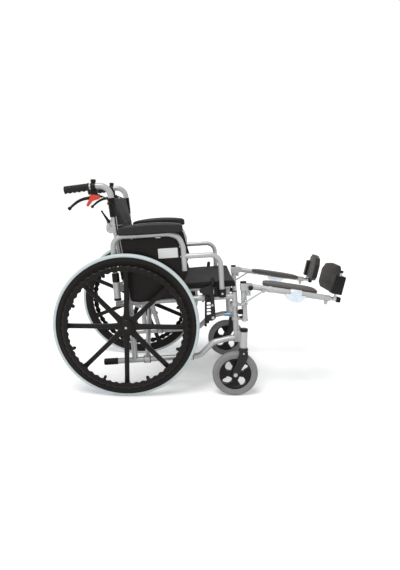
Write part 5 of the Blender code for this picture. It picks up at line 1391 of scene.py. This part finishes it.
# %% Wheel lock
PIVOT_U, PIVOT_W = 0.372, 0.004
SHOE_U, SHOE_W = 0.3286, 0.1244
LOCK_D = 0.249
lock_clamp = ribbed_cap(
    at(0.347, UPPER_W, FRAME_D), at(0.375, UPPER_W, FRAME_D), TUBE_R + 0.0046, 2, 0.0005,
)
strips = [
    strap(at(0.3385, -0.026, LOCK_D), at(0.3465, 0.104, LOCK_D), 0.0095, 0.003, 0.0006, outward),
    strap(at(0.3800, 0.004, LOCK_D), at(0.3775, 0.104, LOCK_D), 0.009, 0.003, 0.0006, outward),
]
rungs = [
    strap(at(0.343, w, 0.2492), at(0.380, w, 0.2492), 0.0050, 0.0034, 0.0006, outward)
    for w in (0.0155, 0.0305, 0.0455, 0.0605, 0.0755)
]
lock_foot = slab(
    bent(
        [(0.342, 0.016), (0.384, 0.016), (0.385, 0.000), (0.372, -0.010), (0.348, -0.011)], 0.005, 5, True,
    ),
    0.2475, 0.2505, at, 0.0006,
)
lock_bits = [
    pin(PIVOT_U, PIVOT_W, 0.2480, 0.2602, 0.0038, 0.0008),
    pin(0.348, -0.001, 0.2485, 0.2570, 0.0064, 0.0015),
]
lock_bits.append(pin(0.361, 0.0785, 0.2480, 0.2535, 0.0042, 0.0008))
lock_bits.append(ball(at(0.3480, -0.0145, LOCK_D), 0.0075))
lock_bits.append(pin(0.338, -0.029, 0.2475, 0.2510, 0.0062, 0.001))
pair(
    "wheel_lock_bracket", [lock_clamp, lock_foot] + strips + rungs + lock_bits, "frame", "black_steel",
    ["wheel_lock_bracket"],
)
lever_outline = bent(
    [
        (PIVOT_U - 0.009, PIVOT_W - 0.004), (PIVOT_U - 0.0065, 0.104), (SHOE_U + 0.010, SHOE_W - 0.012),
        (SHOE_U - 0.009, SHOE_W - 0.006), (SHOE_U - 0.008, SHOE_W + 0.009), (0.362, 0.146), (0.380, 0.150),
        (PIVOT_U + 0.012, PIVOT_W + 0.030), (PIVOT_U + 0.009, PIVOT_W - 0.006),
    ],
    0.008, 5, True,
)
lock_plate = slab(lever_outline, 0.2530, 0.2570, at, 0.0010)
lock_stalk = peg(at(0.373, 0.130, 0.255), at(0.3775, 0.160, 0.255), 0.0048, 0.001)
lock_shoe = ribbed_cap(at(SHOE_U, SHOE_W, 0.2535), at(SHOE_U, SHOE_W, 0.3058), 0.0080, 9, 0.0005)
pair(
    "wheel_lock_lever", [lock_plate, lock_stalk, lock_shoe], "wheel_lock", "black_steel",
    ["wheel_lock_lever"],
)
share = np.linspace(0, 1, 30)
handle_path = at(0.377 + 0.005 * share, 0.150 + 0.034 * share, 0.255)
handle_size = 0.0092 * np.minimum(1, (share / 0.06 + 0.35)) * np.sqrt(np.clip(1.02 - share**7, 0.02, 1))
handle = sweep(handle_path, handle_size - 0.0004 * (np.sin(share * 50) > 0) * (share < 0.85), 28)
pair("wheel_lock_handle", [handle], "wheel_lock", "grip_rubber")
lock_bolts = bolt_head(at(PIVOT_U, PIVOT_W, 0.2570), outward, 0.0046) + bolt_head(
    at(0.372, 0.060, 0.2570), outward, 0.0036,
)
pair("wheel_lock_bolts", lock_bolts, "wheel_lock", "zinc")

# %% [markdown]
# The leg rest hangs on the front post by two collars and swings outward. Its upright carries the
# knee joint, the keeper ring of the strut, the release stub and a black catch.

# %% Leg rest hanger
HANGER_U, LEG_D, STRUT_D = 0.511, 0.250, 0.2695
RELEASE_U, RELEASE_W = 0.5305, 0.1007
KNEE_PIN = (0.056, -0.008)
hanger = [stud(HANGER_U, -0.019, 0.154, LEG_D, TUBE_R, 0.0008, 28)]
hanger.append(stud(HANGER_U, -0.0205, -0.012, LEG_D, TUBE_R + 0.0022, 0.001, 28))
for w in (-0.010, 0.053):
    hanger.append(stud(FRONT_U, w - 0.008, w + 0.008, FRAME_D, 0.0168, 0.001, 32))
    hanger.append(
        strap(
            at(FRONT_U + 0.010, w, FRAME_D + 0.005), at(HANGER_U - 0.006, w, LEG_D - 0.003), 0.011, 0.013,
            0.0015, upward,
        )
    )
yoke = bent(
    [
        (HANGER_U - 0.002, KNEE_W - 0.015), (KNEE_U + 0.008, KNEE_W - 0.014), (KNEE_U + 0.014, KNEE_W),
        (KNEE_U + 0.008, KNEE_W + 0.014), (HANGER_U - 0.002, KNEE_W + 0.014),
    ],
    0.010, 6, True,
)
hanger += [slab(yoke, LEG_D + a, LEG_D + b, at, 0.0006) for a, b in ((-0.0165, -0.0135), (0.0135, 0.0165))]
hanger.append(
    block(
        (HANGER_U - 0.0145, KNEE_W - 0.016, LEG_D - 0.0159),
        (HANGER_U + 0.0085, KNEE_W + 0.015, LEG_D + 0.0159), at, 0.003,
    )
)
hanger.append(block((0.5215, 0.0937, LEG_D + 0.0138), (0.5395, KNEE_W - 0.006, LEG_D + 0.0162), at, 0.0008))
pair("leg_hanger", hanger, "leg_rest", "silver_tube", ["leg_hanger"])
keeper_eye = at(0.518, 0.0686, STRUT_D)
strut_knee = leg(*KNEE_PIN, STRUT_D)
strut_run = (strut_knee - keeper_eye) / np.linalg.norm(strut_knee - keeper_eye)
strut_side = np.cross(strut_run, outward)


def keeper_place(a, b, c):
    a, b, c = np.broadcast_arrays(a, b, c)
    return keeper_eye + a[..., None] * strut_side + b[..., None] * outward + c[..., None] * strut_run


ring_turn = np.linspace(0, 2 * math.pi, 12, endpoint=False)
keeper_section = np.stack([0.0124 + 0.0018 * np.cos(ring_turn), 0.0030 * np.sin(ring_turn)], axis=1)
hanger_bolts = [turned(keeper_section, keeper_place, 40, loop=True)]
hanger_bolts += bolt_head(at(KNEE_U, KNEE_W, LEG_D + 0.0165), outward, 0.0050) + bolt_head(
    at(KNEE_U, KNEE_W, LEG_D - 0.0165), -outward, 0.0050,
)
hanger_bolts.append(pin(RELEASE_U, RELEASE_W, LEG_D + 0.014, LEG_D + 0.0245, 0.0030, 0.0006, 16))
wire = flowing(
    [
        at(0.486, 0.060, FRAME_D + 0.012), at(0.496, 0.0555, LEG_D + 0.010),
        at(0.508, 0.0560, LEG_D + 0.0142), at(0.522, 0.0590, LEG_D + 0.009),
    ],
    24,
)
hanger_bolts.append(sweep(wire, 0.0015, 10))
pair("leg_hanger_bolts", hanger_bolts, "leg_rest", "zinc")
hanger_black = [
    stud(HANGER_U, 0.1490, 0.1560, LEG_D, TUBE_R + 0.0014, 0.0015, 28),
    block((HANGER_U - 0.028, 0.012, LEG_D - 0.004), (HANGER_U - 0.004, 0.034, LEG_D + 0.010), at, 0.003),
    pin(0.4870, 0.0234, LEG_D + 0.004, LEG_D + 0.0150, 0.0086, 0.002, 24),
    block((HANGER_U - 0.024, -0.006, LEG_D - 0.003), (HANGER_U - 0.006, 0.003, LEG_D + 0.008), at, 0.002),
]
pair("leg_hanger_mouldings", hanger_black, "leg_rest", "black_plastic")

# %% [markdown]
# The release lever is a bent wire with a black ball on it. The strut is a plain plated rod that
# slides through the keeper ring as the leg rest rises.

# %% Release lever and strut
release_root = at(RELEASE_U, RELEASE_W, LEG_D + 0.0210)
release_knob = at(0.5390, 0.1297, LEG_D + 0.0300)
release_line = flowing([release_root, at(RELEASE_U, 0.1127, LEG_D + 0.0215), release_knob], 20)
release = [
    sweep(release_line, 0.0021, 12), pin(RELEASE_U, RELEASE_W, LEG_D + 0.0190, LEG_D + 0.0230, 0.0062),
]
pair("release_wire", release, "release", "zinc")
pair("release_knob", [ball(release_knob, 0.0108, 28)], "release", "black_plastic", ["release_lever"])
strut_tail = keeper_eye - strut_run * 0.018
strut = [
    sweep(np.stack([strut_knee - strut_run * 0.006, strut_tail]), 0.0040, 20),
    peg(strut_knee - outward * 0.0045, strut_knee + outward * 0.0045, 0.0085, 0.001, 28),
    peg(strut_tail + strut_run * 0.001, strut_tail - strut_run * 0.008, 0.0052, 0.0012, 20),
]
pair("elevation_strut", strut, "strut", "zinc", ["elevation_strut"])

# %% [markdown]
# The leg tube runs forward from the knee, slightly down. A clamp plate under it holds the calf pad,
# and the foot plate's stem slides into its far end.

# %% Leg tube and stem
LEG_LENGTH = 0.352
leg_shells = [
    peg(leg(-0.010, 0, LEG_D), leg(LEG_LENGTH, 0, LEG_D), TUBE_R, 0.0008, 28),
    peg(leg(0.080, 0, LEG_D), leg(0.094, 0, LEG_D), TUBE_R + 0.0016, 0.0008, 28),
    block(
        (LEG_LENGTH - 0.022, -0.026, LEG_D - 0.006), (LEG_LENGTH - 0.008, -0.010, LEG_D + 0.006), leg,
        0.002,
    ),
]
leg_shells.append(peg(leg(*KNEE_PIN, LEG_D + 0.005), leg(*KNEE_PIN, 0.2647), 0.0060, 0.0008))
pair("leg_tube", leg_shells, "leg_lift", "silver_tube", ["leg_tube"])
leg_bolts = bolt_head(leg(LEG_LENGTH - 0.015, -0.026, LEG_D), leg(0, -1, 0) - leg(0, 0, 0), 0.0040)
leg_bolts += [peg(leg(*KNEE_PIN, 0.2640), leg(*KNEE_PIN, 0.2755), 0.0035, 0.0006)]
leg_bolts += bolt_head(leg(*KNEE_PIN, 0.2740), outward, 0.0040, 0.002)
pair("leg_tube_bolts", leg_bolts, "leg_lift", "zinc")

ROD_LEAN = math.radians(11.0)
FOOT_TOE = math.radians(5.0)
rod_base = leg(0.370, 0.0, 0.255)


def foot(a, b, c):
    """Place on the foot plate: a inwards across the chair, b up the hinge rod, c forward."""
    a, b, c = np.broadcast_arrays(*(np.asarray(value, float) for value in (a, b, c)))
    lean = np.array([math.sin(ROD_LEAN), 0, math.cos(ROD_LEAN)])
    inwards = np.array([0.0, 1.0, 0.0])
    ahead = np.cross(inwards, lean)
    plate_in = inwards * math.cos(FOOT_TOE) - ahead * math.sin(FOOT_TOE)
    plate_ahead = inwards * math.sin(FOOT_TOE) + ahead * math.cos(FOOT_TOE)
    return rod_base + a[..., None] * plate_in + b[..., None] * lean + c[..., None] * plate_ahead


stem = [
    peg(leg(LEG_LENGTH - 0.004, 0, LEG_D), leg(0.393, 0, LEG_D), 0.0080, 0.0008),
    peg(foot(0, -0.002, 0), foot(0, 0.121, 0), 0.0050, 0.0008),
    peg(foot(0, -0.004, 0), foot(0, 0.010, 0), 0.0095, 0.0015),
]
pair("footplate_stem", stem, "leg_lift", "zinc", ["footplate_stem"])
stem_black = [
    block((0.378, -0.0115, LEG_D - 0.0115), (0.397, 0.0115, LEG_D + 0.0115), leg, 0.003),
    peg(foot(0, 0.1175, 0), foot(0, 0.128, 0), 0.0082, 0.0015),
]
pair("footplate_plugs", stem_black, "leg_lift", "black_plastic")

# %% [markdown]
# The calf pad is a flat foam pad on a plated clamp. Its face is crowned, its corners are rounded
# and a welded seam runs round its waist.

# %% Calf pad
CALF_TILT = math.radians(4.0)


def calf(a, b, d):
    """Place on the calf pad: as on the leg, tilted about the pad's outer edge."""
    b, d = np.asarray(b, float) - 0.010, np.asarray(d, float) - 0.235
    raised = 0.010 + b * math.cos(CALF_TILT) - d * math.sin(CALF_TILT)
    return leg(a, raised, 0.235 + b * math.sin(CALF_TILT) + d * math.cos(CALF_TILT))


pad_shell = cushion(
    (0.060, -0.1470, -0.003), (0.305, -0.2350, 0.022), lambda a, d, b: calf(a, b, -d), 0.42, 0.5, 0.10,
    0.03,
)
# The calf pad's light skin tone is painted light on its top, over a dark brown-grey vinyl.
for pad in pair("calf_pad", [pad_shell], "calf", "pad_skin", ["calf_pad"], finish=calf_skin_painted_light):
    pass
clamp_ring = peg(leg(0.175, 0, LEG_D), leg(0.225, 0, LEG_D), TUBE_R + 0.0034, 0.001, 32)
clamp_outline = bent(
    [
        (0.150, -0.0040), (0.250, -0.0040), (0.232, -0.030), (0.216, -0.038), (0.184, -0.038),
        (0.168, -0.030),
    ],
    0.006, 6, True,
)
clamp = [
    clamp_ring, slab(clamp_outline, LEG_D + 0.0138, LEG_D + 0.0162, leg, 0.0006),
    slab(clamp_outline, LEG_D - 0.0162, LEG_D - 0.0138, leg, 0.0006),
]
clamp.append(block((0.158, -0.0050, 0.182), (0.242, -0.0015, LEG_D + 0.002), leg, 0.0008))
clamp += bolt_head(leg(0.192, -0.024, LEG_D + 0.0162), outward, 0.0038) + bolt_head(
    leg(0.208, -0.024, LEG_D + 0.0162), outward, 0.0038,
)
# The clamp's paler zinc is painted light, for the reflection it shows.
pair("calf_clamp", clamp, "calf", "zinc", finish=zinc_with_painted_light)

# %% [markdown]
# Foot plates are thick plastic mouldings that turn on a steel rod. The plate has a curved upper
# edge, shallow grip ribs on the face that meets the shoe and a block that holds the rod.

# %% Foot plate
plate_outline = bent(
    [
        (0.005, 0.0315), (0.023, 0.0215), (0.170, 0.0215), (0.200, 0.0395), (0.200, 0.105), (0.170, 0.135),
        (0.1115, 0.145), (0.043, 0.143), (0.023, 0.120), (0.005, 0.111),
    ],
    0.012, 7, True,
)
foot_shells = [slab(plate_outline, -0.0118, 0.0118, foot, 0.0050)]
for b in np.linspace(0.048, 0.118, 6):
    foot_shells.append(block((0.045, b - 0.0022, -0.0129), (0.178, b + 0.0022, -0.0108), foot, 0.0009))
pair("footplate", foot_shells, "foot", "black_plastic", ["footplate"], finish=foot_plastic)
block_outline = bent([(-0.013, 0.0235), (0.026, 0.0235), (0.026, 0.1045), (-0.013, 0.1045)], 0.005, 5, True)
foot_block = [slab(block_outline, -0.0232, 0.0232, foot, 0.0030)]
foot_block += [
    block((-0.0136, b - 0.0035, -0.018), (0.010, b + 0.0035, 0.018), foot, 0.0012)
    for b in (0.040, 0.064, 0.088)
]
pair("footplate_block", foot_block, "foot", "black_plastic")

# %% [markdown]
# Two welded frames cross under the seat and carry the seat tubes. Each foot turns on a lower rail
# in a sleeve, and bolts through their middles let them close like scissors.

# %% Cross brace
SEAT_W, BRACE_R = 0.135, 0.011
BARS_A_U, BARS_B_U = (0.070, 0.262), (0.096, 0.236)
PLUG = 0.004


def cross_frame(name, side, bars_u, pinned):
    """One frame of the brace. Side is 1 where its feet are on the right rail."""
    foot_d, head_d = side * FRAME_D, -side * FRAME_D
    middle_w = (LOWER_W + SEAT_W) / 2
    silver_shells = [sweep(at([0.035, 0.455], [SEAT_W] * 2, head_d), 0.0115, 24)]
    zinc_shells, black_shells = [], []
    for order, u in enumerate(bars_u):
        line = at([u, u], [LOWER_W, SEAT_W], [foot_d, head_d])
        silver_shells.append(sweep(line, BRACE_R, 24, across=(1, 0, 0)))
        silver_shells.append(bar(u - 0.013, u + 0.013, LOWER_W, foot_d, 0.0170, 0.001, 32))
        step = 1 if order == 0 else -1
        if pinned:
            reach = abs(BARS_B_U[0] - BARS_A_U[0]) + BRACE_R + 0.005
            zinc_shells.append(bar(u, u + step * reach, middle_w, 0, 0.0040, 0.0006, 16))
            zinc_shells += bolt_head(
                at(u + step * (reach - 0.0045), middle_w, 0), step * forward, 0.0062, 0.0035,
            )
        black_shells.append(bar(u - 0.0145, u - 0.0125, LOWER_W, foot_d, 0.0178, 0.0006, 32))
        black_shells.append(bar(u + 0.0125, u + 0.0145, LOWER_W, foot_d, 0.0178, 0.0006, 32))
    black_shells += [bar(u, u + PLUG, SEAT_W, head_d, 0.0121, 0.001) for u in (0.0325, 0.4535)]
    dress(name + "_bars", silver_shells, name, "silver_tube", [name])
    dress(name + "_caps", black_shells, name, "black_plastic")
    if zinc_shells:
        dress(name + "_bolts", zinc_shells, name, "zinc")


cross_frame("cross_bar_a", 1, BARS_A_U, True)
cross_frame("cross_bar_b", -1, BARS_B_U, False)
print("cross brace: two frames")

# %% [markdown]
# The seat is a padded nylon sling, wrapped round both seat tubes and raised over them, with a piped
# edge and a slight hollow. Its cross section is two lines of equal point counts, the top and the
# underside, that close on a quarter circle at the front and rear edges.

# %% Seat
SEAT_U = (0.036, 0.4775)
SEAT_TOP, SEAT_HOLLOW, SEAT_BELLY = 0.0262, 0.010, 0.004
SEAT_EDGE = 0.010


def even(line, count):
    """The same line with its points at equal steps along it."""
    line = np.asarray(line, float)
    length = np.concatenate([[0], np.cumsum(np.linalg.norm(np.diff(line, axis=0), axis=1))])
    places = np.linspace(0, length[-1], count)
    return np.stack([np.interp(places, length, column) for column in line.T], axis=1)


def seat_lines(count):
    """Top and underside across the seat, as half width y and height over the tubes."""
    turn = np.radians(np.linspace(176, 146, 6))
    wrap = np.stack([-FRAME_D + 0.0149 * np.cos(turn), 0.0149 * np.sin(turn)], axis=1)
    corner = [wrap[-1], (-0.2460, 0.0150), (-0.2430, 0.0212), (-0.2360, 0.0254), (-0.2250, SEAT_TOP)]
    side = np.vstack([wrap, flowing(corner, 16)[1:]])
    y = np.linspace(-0.2250, 0.2250, 61)[1:-1]
    hollow = np.stack([y, SEAT_TOP - SEAT_HOLLOW * (1 - (y / 0.2250) ** 2)], axis=1)
    top = np.vstack([side, hollow, side[::-1] * [-1, 1]])
    turn = np.radians(np.linspace(176, 38, 14))
    cradle = np.stack([-FRAME_D + 0.0121 * np.cos(turn), 0.0121 * np.sin(turn)], axis=1)
    edge_y, edge_w = -cradle[-1, 0] - 0.004, cradle[-1, 1] - 0.001
    y = np.linspace(-edge_y, edge_y, 41)
    belly = np.stack([y, edge_w - SEAT_BELLY * (1 - (y / edge_y) ** 2)], axis=1)
    under = np.vstack([cradle, belly, cradle[::-1] * [-1, 1]])
    return even(top, count), even(under, count)


def seat_sheet(count=130, rows=120):
    """The closed seat: rings of top and underside along u, with folds at the tubes."""
    top, under = seat_lines(count)
    round_in = SEAT_EDGE * (1 - np.cos(np.linspace(0, math.pi / 2, 8)))
    inner = np.linspace(SEAT_U[0] + SEAT_EDGE, SEAT_U[1] - SEAT_EDGE, rows)[1:-1]
    u = np.concatenate([SEAT_U[0] + round_in, inner, SEAT_U[1] - round_in[::-1]])
    s = (u - SEAT_U[0]) / (SEAT_U[1] - SEAT_U[0])
    reach = np.minimum(np.minimum(u - SEAT_U[0], SEAT_U[1] - u) / SEAT_EDGE, 1)
    full = np.sqrt(np.maximum(1 - (1 - reach) ** 2, 1e-4))[:, None, None]
    run = np.gradient(top, axis=0)
    run /= np.linalg.norm(run, axis=1, keepdims=True)
    up = np.stack([-run[:, 1], run[:, 0]], axis=1)
    y = top[:, 0]
    at_tube = np.exp(-((np.abs(y) - 0.238) / 0.020) ** 2)
    wave = np.sin(2 * math.pi * 12 * s + 1.3 * np.sin(9 * s))[:, None] * at_tube[None] * 0.0008
    soft = 0.0013 * np.sin(5 * math.pi * s)[:, None] * np.cos(4 * y / FRAME_D)[None] * (np.abs(y) < 0.2)[
        None
    ]
    hem = 0.0008 * np.exp(-(((s - 0.955) / 0.010) ** 2))[:, None] + 0 * y[None]
    top = top[None] + (wave + soft + hem)[..., None] * up[None]
    middle = (top + under[None]) / 2
    top, low = middle + (top - middle) * full, middle + (under[None] - middle) * full
    rings = np.concatenate([top, low[:, ::-1]], axis=1)
    length = np.concatenate([[0], np.cumsum(np.linalg.norm(np.diff(rings[0], axis=0), axis=1))])
    uvs = np.stack(np.broadcast_arrays(length[None], u[:, None]), axis=-1).reshape(-1, 2)
    return skin(at(u[:, None] + 0 * rings[..., 0], SEAT_W + rings[..., 1], -rings[..., 0])), uvs


def seat_piping(side):
    """The welt along the seat's upper side edge."""
    u = np.linspace(SEAT_U[0] + 0.012, SEAT_U[1] - 0.012, 80)
    wave = 0.0005 * np.sin(60 * u)
    shell = sweep(at(u, SEAT_W + 0.0232 + wave, side * 0.2412), 0.0017, 10)
    return shell, shell[0][:, :2]


seat_shell, seat_uvs = seat_sheet()
welts = [seat_piping(side) for side in (1, -1)]
seat_uvs = np.vstack([seat_uvs] + [welt_uvs for _, welt_uvs in welts])
seat = into_object("seat_sling_cloth", [seat_shell] + [welt for welt, _ in welts], nylon, uvs=seat_uvs)
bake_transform(seat)
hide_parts("seat_sling")
print("seat:", len(seat.data.polygons), "faces")

# %% [markdown]
# The back is the same cloth: a lower panel on the frame's canes and an upper one on the folding
# canes, which meet at the hinge. Each is stretched between sleeves on its canes and bellies forward
# a little. When the chair folds the sleeves stay on their canes.

# %% Back panels


def cane_u(w):
    """Where the middle of the back cane is at a height."""
    low = REAR_U + np.clip((w - 0.060) / (CANE_HINGE_W - 0.060), 0, 1) * (CANE_HINGE_U - REAR_U)
    high = CANE_HINGE_U + (w - CANE_HINGE_W) / (CANE_TOP_W - CANE_HINGE_W) * (CANE_TOP_U - CANE_HINGE_U)
    return np.where(w > CANE_HINGE_W, high, low)


def back_sleeve(low_w, high_w, seam):
    """A cloth tube round the cane, puckered by its stitches, with turned hems."""
    share = np.linspace(0, 1, 70)
    w = low_w + (high_w - low_w) * share
    path = at(cane_u(w), w, FRAME_D)
    hem = np.exp(-(share / 0.05) ** 2) + np.exp(-((1 - share) / 0.05) ** 2)
    size = 0.0147 + 0.0007 * hem + 0.00035 * np.sin(share * seam) - 0.0012 * (
        np.minimum(share, 1 - share) < 0.004
    )
    return sweep(path, size, 28)


def back_panel(name, low_w, high_w, body):
    """Cloth between the canes: a blunt bow forwards, with slack folds that die at its edges."""
    rows, columns = 90, 80
    s = np.linspace(0, 1, rows)[:, None]
    across = np.linspace(-1, 1, columns)[None]
    w = low_w + 0.0002 + (high_w - low_w - 0.0004) * s
    half = np.interp(w, (0.380, 0.387, 0.463, 0.470), (0.2190, 0.2155, 0.2155, 0.2190))
    belly = np.interp(w, (0.195, 0.300, 0.425, 0.470, CANE_TOP_W), (0.012, 0.018, 0.028, 0.022, 0.005))
    fold = 0.0018 * np.sin(math.pi * s) * np.sin(7 * across + 3 * s) * (1 - across**2)
    hem = 0.0008 * (np.exp(-((s - 0.06) / 0.02) ** 2) + np.exp(-((s - 0.94) / 0.02) ** 2))
    stitch = 0.0008 * np.exp(-((np.abs(across) - 0.95) / 0.012) ** 2)
    u = cane_u(w) + belly * (1 - across**4) + fold
    front = at(u + 0.0014 + hem - stitch, w + 0 * across, -half * across)
    rear = at(u - 0.0014 - hem, w + 0 * across, -half * across)
    rings = np.concatenate([front, rear[:, ::-1]], axis=1)
    flat = np.stack(np.broadcast_arrays(half * across, w), axis=-1)
    uvs = np.concatenate([flat, flat[:, ::-1]], axis=1).reshape(-1, 2)
    item = into_object(name, [skin(rings)], nylon, uvs=uvs)
    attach(item, body)
    wide = float(np.mean(np.sum(np.linalg.norm(np.diff(front, axis=1), axis=2), axis=1)))
    return item, (wide, high_w - low_w)


for name, body, panel_w, sleeve_w in (
    ("back_lower", "frame", (0.195, 0.4251), (0.195, 0.295)),
    ("back_upper", "upper_cane", (0.4254, CANE_TOP_W), (0.464, CANE_TOP_W)),
):
    panel_item, flat_size = back_panel(name + "_cloth", *panel_w, body + "_right")
    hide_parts(name)
    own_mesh(panel_item)
    sleeve_shell = back_sleeve(*sleeve_w, 150.0)
    uv = sleeve_shell[0][:, [1, 2]]
    for side, mirror in SIDES:
        sleeve_item = into_object(f"{name}_sleeve_{side}", [sleeve_shell], nylon, mirror=mirror, uvs=uv)
        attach(sleeve_item, f"{body}_{side}")
    print(name, "cut", [round(value, 3) for value in flat_size], "m")

# %% [markdown]
# A brake cable leaves each brake body, turns down beside the cane and ends in the drum's stop. It
# is fixed at both ends.

# %% Brake cables
beside = 0.2482
cable_points = np.vstack([
    [
        level(-0.1047, 0.850, FRAME_D), level(-0.101, 0.848, FRAME_D),
        level(-0.086, 0.842, FRAME_D + 0.009), level(-0.075, 0.831, FRAME_D + 0.019),
    ],
    [at(cane_u(w) + 0.0085, w, beside) for w in (0.506, 0.425, 0.350, 0.270, 0.210)],
    [at(cane_u(w) + 0.0035, w, beside - 0.0004) for w in (0.165, 0.130)],
    [at(0.0130, 0.098, beside), at(0.0050, 0.078, 0.2515), at(0, 0.061, 0.2545), at(0, 0.0513, 0.2545)],
])
CABLE_R = 0.0025
for side, sign in (("right", 1), ("left", -1)):
    line = flowing(cable_points, 36) * [1, sign, 1]
    cable = into_object(
        f"brake_cable_{side}_line", [sweep(line, CABLE_R, 14, across=(0.9, 0.3, 0.1))], cable_black,
    )
    hinge = at(HINGE_U, CANE_HINGE_W, FRAME_D) * [1, sign, 1]
    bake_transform(cable)
    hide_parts(f"brake_cable_{side}")

# %% [markdown]
# The floor is a white sweep. It keeps the chair's shadow, and a little light of its own, seen by
# the camera and in reflections, lifts it toward white.

# %% Floor
FLOOR_GLOW = 0.24
floor_finish = Finish("floor", Roughness=0.55, Specular_IOR_Level=0.1)
seen_by = floor_finish.node("ShaderNodeLightPath", output="Is Camera Ray")
for kind in ("Is Glossy Ray", "Is Transmission Ray"):
    seen_by = seen_by.sum("MAXIMUM", floor_finish.node("ShaderNodeLightPath", output=kind))
floor_finish.paint(Base_Color=(0.92, 0.92, 0.92), Emission_Strength=FLOOR_GLOW)
floor_finish.paint(Emission_Color=floor_finish.blend(seen_by, (0.0, 0.0, 0.0), (1.0, 1.0, 1.0)))
floor_mesh = bpy.data.meshes.new("floor")
floor_mesh.from_pydata([(-30, -30, 0), (30, -30, 0), (30, 30, 0), (-30, 30, 0)], [], [(0, 1, 2, 3)])
floor_mesh.materials.append(floor_finish.material)
floor = bpy.data.objects.new("floor", floor_mesh)
bpy.context.scene.collection.objects.link(floor)
